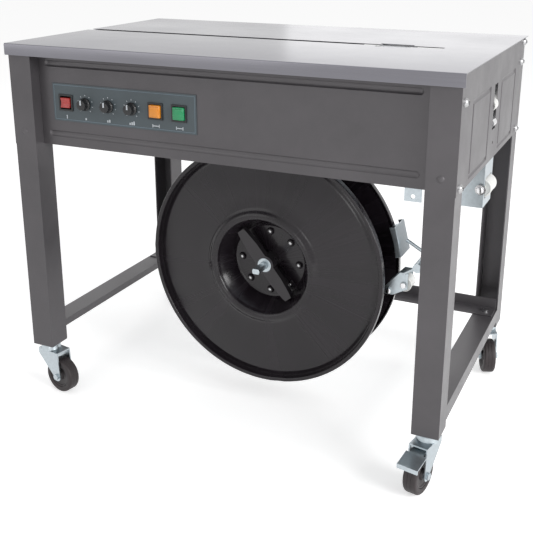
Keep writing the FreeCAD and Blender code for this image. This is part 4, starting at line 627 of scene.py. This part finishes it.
class STRAPPER_OT_reel(bpy.types.Operator):
    """Build the two dished reel flanges and the lock handle"""

    bl_idname = "strapper.reel"
    bl_label = "Reel"
    bl_options = {"REGISTER", "UNDO"}

    def execute(self, context):
        sizes = context.scene.strapper_sizes
        self.front_flange(sizes)
        self.rear_flange(sizes)
        softened_copy("reel_lock_handle", "handle_moulding", "lock_handle", 2.4 * MM)
        self.handle_collar()
        softened_copy("reel_shaft", "zinc", "frame", 1.6 * MM)
        return {"FINISHED"}

    def front_flange(self, sizes):
        low, high = extent("reel_front_flange")
        centre = middle("reel_front_flange")
        radius = (high.x - low.x) / 2
        skin, roll = 2.4 * MM, sizes.reel_roll
        ring_stand = 8 * MM
        rim_front = low.y + ring_stand
        bowl, mouth, foot = 42 * MM, 98 * MM, 80 * MM
        bore = 10.08 * MM
        inner = radius - 9 * MM
        front = [(bore, bowl), (foot - 6 * MM, bowl)]
        front += arc((foot - 6 * MM, bowl - 6 * MM), 6 * MM, 90, 20, 5)
        front += [(mouth - 1.5 * MM, 3 * MM)]
        front += in_mm((98.4, 0.5), (99.4, -2.8), (101.4, -5.6), (104.2, -7.4), (107.6, -8),
                       (111, -7.4), (114.6, -5.4), (118, -2.5), (121.4, -0.6), (125, 0.4),
                       (150, 2.4))
        front += in_mm((-14, 8.4), (-8, 10), (-4, 12.6), (-1, 12.6), (0.6, 9), base=inner)
        front += arc((inner + 3.2 * MM, roll), roll, 180, 270, 4)
        front += arc((radius - roll, roll), roll, 270, 360, 5)
        front += [(radius, 14 * MM), (radius - skin, 14 * MM), (radius - skin, 5 * MM)]
        back = in_mm((4, 4.4), (3, 9), (1.4, 15), (-5, 15.4), (-14, 11.4), base=inner)
        back += in_mm((125, 3.1), (119, 1.2), (113, -3.2), (107.6, -5.2), (103, -4), (101, 0.5))
        back += [(mouth + 2 * MM, 5 * MM), (foot + 2.4 * MM, bowl),
                 (foot - 4 * MM, bowl + 2.9 * MM), (bore, bowl + 2.9 * MM)]
        bm = bmesh.new()
        lathe(bm, Vector((centre.x, rim_front, centre.z)), Y, front + back, sizes.reel_steps)
        self.mark_rim(bm, centre, radius, rim_front)
        piece("reel_front", bm, "reel_enamel", "reel_front", replaces=("reel_front_flange",),
              angle=50)
        self.bosses(centre, rim_front, bowl)

    def mark_rim(self, bm, centre, radius, rim_front):
        """A joint in the rolled rim: a shallow dent over a few degrees, and a small lump."""
        for vert in bm.verts:
            across, up = vert.co.x - centre.x, vert.co.z - centre.z
            reach = math.hypot(across, up)
            turn = math.degrees(math.atan2(up, across))
            if reach < radius - 10 * MM:
                continue
            dent = math.exp(-((turn + 82) / 1.6) ** 2)
            lump = math.exp(-((abs(turn) - 178) / 1.5) ** 2)
            if dent > 0.02:
                vert.co.y += 2.2 * MM * dent * (reach > radius - 8 * MM)
            if lump > 0.02 and vert.co.y < rim_front + 6 * MM:
                vert.co.y -= 1.2 * MM * lump

    def bosses(self, centre, rim_front, bowl):
        """Eight pressed studs in the floor of the bowl, with screw heads."""
        stud_count, circle = 8, 64 * MM
        stud_facets, head_facets = 24, 20
        stud = in_mm((0, 0), (8.2, 0), (6.6, 1.6), (6, 4.2), (5.4, 5), (0, 5))
        head = in_mm((0, 4.9), (3.4, 4.9), (3.4, 6), (2.4, 6.8), (0, 7))
        studs, heads = bmesh.new(), bmesh.new()
        for turn in range(stud_count):
            angle = FULL_TURN * turn / stud_count
            offset = Vector((math.cos(angle), 0, math.sin(angle))) * circle
            foot = Vector((centre.x, rim_front + bowl, centre.z)) + offset
            lathe(studs, foot, -Y, stud, stud_facets)
            lathe(heads, foot, -Y, head, head_facets)
        piece("reel_studs", studs, "reel_enamel", "reel_front")
        piece("reel_stud_heads", heads, "screw_steel", "reel_front")

    def rear_flange(self, sizes):
        low, high = extent("reel_rear_flange")
        centre = middle("reel_rear_flange")
        radius = (high.x - low.x) / 2
        skin, roll = 2.4 * MM, sizes.reel_roll
        depth = high.y - low.y
        inner = radius - 9 * MM
        bore, hub, drum = 10.08 * MM, 24 * MM, 104.6 * MM
        outside = [(bore, 0), (drum - 6 * MM, 0), (drum + 6 * MM, 1 * MM),
                   (drum + 14 * MM, 2.5 * MM), (inner - 12 * MM, 8.4 * MM),
                   (inner - 3 * MM, 10.5 * MM), (inner, 9 * MM)]
        outside += arc((inner + 3 * MM, roll), roll, 180, 270, 4)
        outside += arc((radius - roll, roll), roll, 270, 360, 5)
        inside = [(radius, 14 * MM), (radius - skin, 14 * MM), (radius - skin, 5 * MM),
                  (inner + 2.4 * MM, 12 * MM), (inner - 12 * MM, 11.2 * MM),
                  (drum, 4.6 * MM), (drum, depth - 6 * MM), (drum - 1.5 * MM, depth),
                  (drum - 3 * MM, depth), (drum - 3 * MM, 2.9 * MM), (hub, 2.9 * MM),
                  (hub - 3 * MM, 34 * MM), (bore, 34 * MM)]
        bm = bmesh.new()
        lathe(bm, Vector((centre.x, high.y, centre.z)), -Y, outside + inside,
              sizes.reel_steps)
        piece("reel_rear", bm, "reel_enamel", "reel", replaces=("reel_rear_flange",),
              angle=50)

    def handle_collar(self):
        """Plain washer round the stud on the handle's face."""
        low, high = extent("reel_lock_handle")
        centre = Vector(((low.x + high.x) / 2, low.y, (low.z + high.z) / 2))
        bm = bmesh.new()
        ring = in_mm((8.4, -1.4), (14, -1.4), (15, -0.6), (15, 1), (8.4, 1))
        collar_facets = 40
        lathe(bm, centre, Y, ring, collar_facets)
        piece("handle_collar", bm, "zinc", "lock_handle")


class STRAPPER_OT_controls(bpy.types.Operator):
    """Build the control plate with its marks, knobs, rocker and buttons"""

    bl_idname = "strapper.controls"
    bl_label = "Controls"
    bl_options = {"REGISTER", "UNDO"}

    def execute(self, context):
        sizes = context.scene.strapper_sizes
        softened_copy("control_plate", "plate_enamel", "frame", 0.4 * MM)
        softened_copy("switch_bezels", "black_plastic", "frame", 0.5 * MM)
        self.rocker()
        for node in BUTTONS:
            self.button(node, node.replace("button", "plastic"))
        for node in KNOBS:
            self.knob(sizes, node)
        self.marks(sizes)
        paint_node("control_board", "board_green")
        return {"FINISHED"}

    def rocker(self):
        low, high = extent("power_rocker")
        at = middle("power_rocker")
        bm = bmesh.new()
        half, reach = 10.6 * MM, 9.6 * MM
        points = [(-reach, low.y + 13.6 * MM), (-reach, low.y + 0.3 * MM),
                  (-reach * 0.4, low.y + 2.2 * MM), (0, low.y + 2.7 * MM),
                  (reach * 0.4, low.y + 2.2 * MM), (reach, low.y + 0.3 * MM),
                  (reach, low.y + 13.6 * MM)]
        ring = [bm.verts.new(Vector((at.x - half, y, at.z + z))) for z, y in points]
        grown = bmesh.ops.extrude_face_region(bm, geom=[bm.faces.new(ring)])
        moved = [v for v in grown["geom"] if isinstance(v, bmesh.types.BMVert)]
        bmesh.ops.translate(bm, verts=moved, vec=X * 2 * half)
        bmesh.ops.recalc_face_normals(bm, faces=bm.faces)
        bmesh.ops.bevel(bm, geom=bm.edges[:], offset=0.8 * MM, segments=2, affect="EDGES",
                        profile=0.5, material=-1)
        axis_y = high.y - 2 * MM
        bar(bm, (low.x, axis_y, at.z), (high.x, axis_y, at.z), 1.9 * MM)
        piece("rocker_cap", bm, "red_plastic", "power_rocker", replaces=("power_rocker",))

    def button(self, node, finish):
        """Square cap with a raised, slightly crowned lens."""
        low, high = extent(node)
        bm = bmesh.new()
        inset = 0.2 * MM
        block(bm, low + Vector((inset, 1.6 * MM, inset)), high - Vector((inset, 0, inset)),
              2 * MM, 3)
        lens = 3 * MM
        block(bm, low + Vector((lens, 0.1 * MM, lens)),
              (high.x - lens, low.y + 4 * MM, high.z - lens), 1.2 * MM, 3)
        piece(node + "_cap", bm, finish, node, replaces=(node,))

    def knob(self, sizes, node):
        """Fluted grip over a plain skirt, with a white pointer set in its face."""
        low, high = extent(node)
        at = middle(node)
        face = low.y
        bm = bmesh.new()
        centre = Vector((at.x, face, at.z))
        skirt, grip = 12.4 * MM, 10.6 * MM
        outline = [(0, 15 * MM), (skirt, 15 * MM), (skirt, 12.6 * MM)]
        outline += in_mm((0.4, 11), (0, 10), (-0.6, 1.4), (-1.8, 0.3), (-4, 0), base=grip)
        outline.append((0, 0.5 * MM))
        lathe(bm, centre, Y, outline, sizes.knob_flutes * 6)
        for vert in bm.verts:
            depth = vert.co.y - face
            offset = Vector((vert.co.x - at.x, 0, vert.co.z - at.z))
            if 0.2 * MM < depth < 10.5 * MM and offset.length > grip - 2.5 * MM:
                wave = math.cos(sizes.knob_flutes * math.atan2(offset.z, offset.x))
                vert.co -= offset.normalized() * 0.35 * MM * (1 - wave)
        bar(bm, (at.x, face + 14 * MM, at.z), (at.x, high.y, at.z), 3 * MM)
        piece(node + "_grip", bm, "gloss_black", node, replaces=(node,))
        bm = bmesh.new()
        block(bm, (at.x - 1.5 * MM, face - 0.3 * MM, at.z + 0.5 * MM),
              (at.x + 1.5 * MM, face + 1.6 * MM, at.z + 9.8 * MM), 0.3 * MM)
        piece(node + "_pointer", bm, "print_white", node)

    def marks(self, sizes):
        """Ticks round each dial, a plain sign under each control and a thin border."""
        low, high = extent("control_plate")
        face = low.y
        proud = Vector((0, sizes.print_gauge, 0))
        bm = bmesh.new()

        def dab(x0, z0, x1, z1):
            block(bm, Vector((x0, face, z0)) - proud, Vector((x1, face + 0.1 * MM, z1)))

        for node in KNOBS:
            at = middle(node)
            for tick in range(sizes.dial_ticks):
                angle = math.radians(-140 + 280 * tick / (sizes.dial_ticks - 1))
                spoke = Vector((math.sin(angle), 0, math.cos(angle)))
                centre = Vector((at.x, face - sizes.print_gauge / 2, at.z))
                middle_of_tick = centre + spoke * 17 * MM
                size = (sizes.tick_width, sizes.print_gauge, sizes.tick_length)
                turn = Matrix.Rotation(angle, 4, "Y")
                matrix = Matrix.Translation(middle_of_tick) @ turn @ Matrix.Diagonal((*size, 1))
                bmesh.ops.create_cube(bm, size=1.0, matrix=matrix)
        base = low.z + 9 * MM
        bar_pitch, bar_half, drop = 4.4 * MM, 1.4 * MM, 3 * MM
        for bars, node in enumerate(KNOBS, start=1):
            at = middle(node)
            for step in range(bars):
                x = at.x + (step - (bars - 1) / 2) * bar_pitch
                dab(x - bar_half, base - drop, x + bar_half, base + (1 + 1.6 * step) * MM)
        rocker = middle("power_rocker")
        stroke_half, stroke_reach = 1 * MM, 3.6 * MM
        dab(rocker.x - stroke_half, base - stroke_reach,
            rocker.x + stroke_half, base + stroke_reach)
        span, line_half = 7 * MM, 0.8 * MM
        for node in BUTTONS:
            at = middle(node)
            dab(at.x - span, base - line_half, at.x + span, base + line_half)
            for side in (-1, 1):
                x = at.x + side * span
                dab(x - line_half, base - drop, x + line_half, base + drop)
        piece("plate_marks", bm, "print_white", "frame")
        bm = bmesh.new()
        gap, line = 3 * MM, 0.8 * MM
        left, right = low.x + gap, high.x - gap
        bottom, top = low.z + gap, high.z - gap
        dab(left, bottom, right, bottom + line)
        dab(left, top - line, right, top)
        dab(left, bottom + line, left + line, top - line)
        dab(right - line, bottom + line, right, top - line)
        piece("plate_border", bm, "print_border", "frame")


class STRAPPER_OT_casters(bpy.types.Operator):
    """Build tyres, hubs, hub washers and ball races on the four casters"""

    bl_idname = "strapper.casters"
    bl_label = "Casters"
    bl_options = {"REGISTER", "UNDO"}

    def execute(self, context):
        sizes = context.scene.strapper_sizes
        for joint in frame["joints"]:
            if joint["name"].endswith("_wheel_spin"):
                corner = joint["name"].replace("_wheel_spin", "")
                self.wheel(sizes, corner, Vector(joint["pos_m"]), Vector(joint["axis"]))
            if joint["name"].endswith("_swivel"):
                corner = joint["name"].replace("_swivel", "")
                self.race(sizes, corner, Vector(joint["pos_m"]))
        for node in frame["nodes"]:
            for start, body, bevel in (("caster_fork_", "fork_", 0.6 * MM),
                                       ("caster_brake_", "pedal_", 0.5 * MM)):
                if node.startswith(start):
                    softened_copy(node, "zinc", node.replace(start, body), bevel)
        softened_copy("caster_stems", "zinc", "frame", 0.5 * MM)
        return {"FINISHED"}

    def wheel(self, sizes, corner, centre, axis):
        axis = axis.normalized()
        radius, half, rim = 37.5 * MM, 13 * MM, 24.5 * MM
        bore = 4.08 * MM
        shoulder = 4.5 * MM
        tread = [(radius, -half + shoulder + 1 * MM)]
        for groove in range(sizes.tread_grooves):
            at = (groove - (sizes.tread_grooves - 1) / 2) * 7 * MM
            tread += [(radius, at - 0.7 * MM), (radius - 0.6 * MM, at), (radius, at + 0.7 * MM)]
        tread.append((radius, half - shoulder - 1 * MM))
        side = arc((radius - shoulder, half - shoulder), shoulder, 0, 90, 5)
        other = arc((radius - shoulder, shoulder - half), shoulder, 270, 360, 5)
        tyre = [(rim, shoulder - half + 1 * MM), (rim + 1 * MM, -half + 1 * MM),
                (rim + 3 * MM, -half)] + other + tread + side
        tyre += [(rim + 3 * MM, half), (rim + 1 * MM, half - 1 * MM),
                 (rim, half - shoulder - 1 * MM)]
        bm = bmesh.new()
        lathe(bm, centre, axis, tyre, 3 * FACETS)
        piece("tyre_" + corner, bm, "tyre_rubber", "wheel_" + corner,
              replaces=("caster_wheel_" + corner,))
        hub = [(bore, -half), (9 * MM, -half), (10 * MM, -half + 0.8 * MM)]
        hub += in_mm((11, -7.5), (13, -6.6), (20, -6.6), (22, -8), (23, -11))
        hub.append((rim - 0.2 * MM, -11.2 * MM))
        hub += [(r, -y) for r, y in reversed(hub)]
        bm = bmesh.new()
        lathe(bm, centre, axis, hub, 2 * FACETS)
        piece("hub_" + corner, bm, "hub_moulding", "wheel_" + corner)
        bm = bmesh.new()
        for end in (-1, 1):
            start = centre + axis * end * (half + 0.1 * MM)
            washer = in_mm((4.2, -1.5), (8, -1.5), (8, 0.6), (7.2, 1.2), (4.2, 1.2))
            lathe(bm, start, axis * end, washer, FACETS)
        piece("hub_washers_" + corner, bm, "zinc", "wheel_" + corner)

    def race(self, sizes, corner, pivot):
        """Balls that show in the gap under the fixed disc."""
        circle, ball_radius, sunk = 18.3 * MM, 1.0 * MM, 0.6 * MM
        level = extent("caster_fork_" + corner)[1].z - sunk
        bm = bmesh.new()
        for ball in range(sizes.ball_count):
            angle = FULL_TURN * ball / sizes.ball_count
            at = Vector((pivot.x + circle * math.cos(angle),
                         pivot.y + circle * math.sin(angle), level))
            bmesh.ops.create_icosphere(bm, subdivisions=2, radius=ball_radius,
                                       matrix=Matrix.Translation(at))
        piece("race_balls_" + corner, bm, "bright_steel", "fork_" + corner)


class STRAPPER_OT_strap_path(bpy.types.Operator):
    """Build the strap rollers and finish the brake and the sealing head"""

    bl_idname = "strapper.strap_path"
    bl_label = "Strap Path"
    bl_options = {"REGISTER", "UNDO"}

    def execute(self, context):
        for node, bore, rim in (("guide_roller", 5.06, 2.5), ("inlet_roller", 4.06, 1.5),
                                ("dancer_roller", 4.06, 1.2)):
            self.roller(node, bore * MM, rim * MM)
        softened_copy("brake_arm", "zinc", "brake", 0.4 * MM)
        softened_copy("brake_shoe", "zinc", "brake", 0.5 * MM)
        for node in ("head_block", "left_gripper", "center_press", "right_gripper",
                     "anvil_slide", "heater_arm", "feed_roller", "camshaft", "motor_pulley",
                     "gearbox_pulley"):
            paint_node(node, "machined_steel")
        for node in ("motor", "gearbox"):
            paint_node(node, "machine_enamel")
        paint_node("pinch_roller", "tyre_rubber")
        paint_node("drive_belt", "tyre_rubber")
        paint_node("transformer", "varnished_core")
        self.bolts()
        return {"FINISHED"}

    def bolts(self):
        """Hexagon heads on the brake's link plate and on the guide roller's bracket."""
        hexagon = 6
        roller = middle("dancer_roller")
        plate_stand, height = 4.8 * MM, 4 * MM
        link = Vector((29 * MM, 0, 16 * MM))
        front = extent("dancer_roller")[0].y - plate_stand
        heads = bmesh.new()
        for at in (roller, roller - link):
            bar(heads, (at.x, front, at.z), (at.x, front - height, at.z), 6.2 * MM, 0.5 * MM,
                hexagon)
        piece("brake_bolts", heads, "bright_steel", "brake")
        at = middle("guide_roller")
        face = extent("guide_bracket")[0].y
        heads = bmesh.new()
        lathe(heads, Vector((at.x, face, at.z)), -Y,
              in_mm((0, -0.4), (10, -0.4), (10, 1), (0, 1)), FACETS)
        bar(heads, (at.x, face - 0.8 * MM, at.z), (at.x, face - 5.5 * MM, at.z), 7 * MM,
            0.6 * MM, hexagon)
        piece("guide_bolt", heads, "bright_steel", "frame")

    def roller(self, node, bore, rim):
        """White roller, a little waisted, with turned end faces."""
        low, high = extent(node)
        centre = middle(node)
        radius, half = (high.z - low.z) / 2, (high.y - low.y) / 2
        dish = 0.8 * MM
        side = [(bore, half), (bore + 2 * MM, half), (bore + 2.6 * MM, half - dish),
                (radius - rim - 1 * MM, half - dish), (radius - rim, half)]
        edge = arc((radius - rim, half - rim), rim, 90, 0, 4)
        waist = [(radius - 0.5 * MM, half - 2.2 * rim), (radius - 0.7 * MM, 0)]
        upper = side + edge + waist
        lower = [(r, -y) for r, y in reversed(upper[:-1])]
        bm = bmesh.new()
        roller_facets = 48
        lathe(bm, centre, Y, upper + lower, roller_facets)
        piece(node + "_turned", bm, "white_nylon", node.replace("dancer_roller", "dancer"),
              replaces=(node,))


class STRAPPER_OT_fasteners(bpy.types.Operator):
    """Build the domes and cross recesses of the casing's screws"""

    bl_idname = "strapper.fasteners"
    bl_label = "Fasteners"
    bl_options = {"REGISTER", "UNDO"}

    def execute(self, context):
        paint_node("frame_screws", "screw_steel")
        low, high = extent("frame_screws")
        column, top_drop, bottom_rise = 252.5 * MM, 45 * MM, 9 * MM
        pivot = (268 * MM, 738.5 * MM)
        head_height, cross_rise = 3.6 * MM, 5.5 * MM
        cross = Matrix.Diagonal((1.2 * MM, 6 * MM, 1.2 * MM, 1))
        dome = [(0, 0), (8 * MM, 0)] + arc((0, -2.4 * MM), 8.4 * MM, 17, 88, 8)
        dome.append((0, 6 * MM))
        rows = (high.z - top_drop, extent("side_panel_right")[0].z + bottom_rise)
        places = [(y, z) for y in (-column, column) for z in rows] + [pivot]
        domes, crosses = bmesh.new(), bmesh.new()
        for end, out in ((low.x, -X), (high.x, X)):
            for y, z in places:
                face = Vector((end, y, z)) - out * head_height
                lathe(domes, face, out, dome, FACETS)
                for turn in (45, 135):
                    matrix = (Matrix.Translation(face + out * cross_rise)
                              @ Matrix.Rotation(math.radians(turn), 4, "X") @ cross)
                    bmesh.ops.create_cube(crosses, size=1.0, matrix=matrix)
        piece("screw_domes", domes, "screw_steel", "frame")
        piece("screw_recesses", crosses, "black_plastic", "frame")
        return {"FINISHED"}


class STRAPPER_OT_stage(bpy.types.Operator):
    """Set up the pale floor, the surround, the lamps and the camera"""

    bl_idname = "strapper.stage"
    bl_label = "Stage"
    bl_options = {"REGISTER", "UNDO"}

    def execute(self, context):
        stage = context.scene.strapper_stage
        self.floor(stage)
        self.surround(context, stage)
        self.lamps(context, stage)
        self.camera(context, stage)
        context.scene.view_settings.view_transform = "Standard"
        return {"FINISHED"}

    def floor(self, stage):
        bm = bmesh.new()
        bmesh.ops.create_grid(bm, x_segments=1, y_segments=1, size=FLOOR_SIZE)
        mesh = bpy.data.meshes.new("floor")
        bm.to_mesh(mesh)
        bm.free()
        floor = bpy.data.objects.new("floor", mesh)
        bpy.context.collection.objects.link(floor)
        material, tree, shader = new_material("pale_floor", 0.9)
        shader.inputs["Base Color"].default_value = (*stage.floor_colour, 1)
        shader.inputs["Specular IOR Level"].default_value = 0.0
        glow = calculate(tree, "MULTIPLY", seen_directly(tree), FLOOR_GLOW)
        shader.inputs["Emission Color"].default_value = (1, 1, 1, 1)
        tree.links.new(glow, shader.inputs["Emission Strength"])
        mesh.materials.append(material)

    def surround(self, context, stage):
        world = bpy.data.worlds.new("pale_surround")
        context.scene.world = world
        world.use_nodes = True
        tree = world.node_tree
        background = tree.nodes["Background"]
        background.inputs["Color"].default_value = (1, 1, 1, 1)
        seen = calculate(tree, "MAXIMUM", seen_directly(tree), stage.surround)
        tree.links.new(seen, background.inputs["Strength"])

    def lamps(self, context, stage):
        table = extent("table_top")[1]
        aim = Vector((0, 0, table.z * AIM_SHARE))
        edge = Vector((*SHEEN_SPOT, table.z))
        seen_from = Vector((stage.camera_x, stage.camera_y, 2 * table.z - stage.camera_z))
        sheen = edge + SHEEN_REACH * (edge - seen_from).normalized()
        for name, (place, size) in {"sheen_lamp": (sheen, SHEEN_WIDTH), **LAMPS}.items():
            place = Vector(place)
            data = bpy.data.lights.new(name, "AREA")
            data.energy = getattr(stage, name)
            data.size = size
            lamp = bpy.data.objects.new(name, data)
            lamp.location = place
            lamp.rotation_euler = (aim - place).to_track_quat("-Z", "Y").to_euler()
            context.collection.objects.link(lamp)

    def camera(self, context, stage):
        data = bpy.data.cameras.new("photo_camera")
        camera = bpy.data.objects.new("photo_camera", data)
        camera.location = (stage.camera_x, stage.camera_y, stage.camera_z)
        turn = Euler((math.pi / 2 + stage.pitch, 0, stage.yaw))
        camera.rotation_euler = turn
        tall = stage.frame_height
        data.sensor_fit = "AUTO"
        data.lens = stage.focal_pixels * data.sensor_width / tall
        data.shift_y = (stage.axis_row - tall / 2) / tall
        context.collection.objects.link(camera)
        context.scene.camera = camera


class STRAPPER_PT_panel(bpy.types.Panel):
    """Lists the operators, sizes and colours"""

    bl_label = "Strapping Table"
    bl_idname = "STRAPPER_PT_panel"
    bl_space_type = "VIEW_3D"
    bl_region_type = "UI"
    bl_category = "Strapping Table"

    def draw(self, context):
        layout = self.layout
        for operator in OPERATORS:
            layout.operator(operator.bl_idname)
        for group in (context.scene.strapper_sizes, context.scene.strapper_colours,
                      context.scene.strapper_stage):
            box = layout.box()
            for name in group.__annotations__:
                box.prop(group, name)


OPERATORS = (STRAPPER_OT_casing, STRAPPER_OT_table, STRAPPER_OT_reel, STRAPPER_OT_controls,
             STRAPPER_OT_casters, STRAPPER_OT_strap_path, STRAPPER_OT_fasteners,
             STRAPPER_OT_stage)
GROUPS = {"strapper_colours": StrapperColours, "strapper_sizes": StrapperSizes,
          "strapper_stage": StrapperStage}


def register():
    for group in GROUPS.values():
        bpy.utils.register_class(group)
    for name, group in GROUPS.items():
        setattr(bpy.types.Scene, name, PointerProperty(type=group))
    for operator in OPERATORS:
        bpy.utils.register_class(operator)
    bpy.utils.register_class(STRAPPER_PT_panel)


def unregister():
    bpy.utils.unregister_class(STRAPPER_PT_panel)
    for operator in reversed(OPERATORS):
        bpy.utils.unregister_class(operator)
    for name, group in GROUPS.items():
        delattr(bpy.types.Scene, name)
        bpy.utils.unregister_class(group)


def main():
    register()
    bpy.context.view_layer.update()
    bpy.ops.strapper.casing()
    bpy.ops.strapper.table()
    bpy.ops.strapper.reel()
    bpy.ops.strapper.controls()
    bpy.ops.strapper.casters()
    bpy.ops.strapper.strap_path()
    bpy.ops.strapper.fasteners()
    bpy.ops.strapper.stage()
    bpy.context.view_layer.update()


if __name__ == "__main__":
    main()
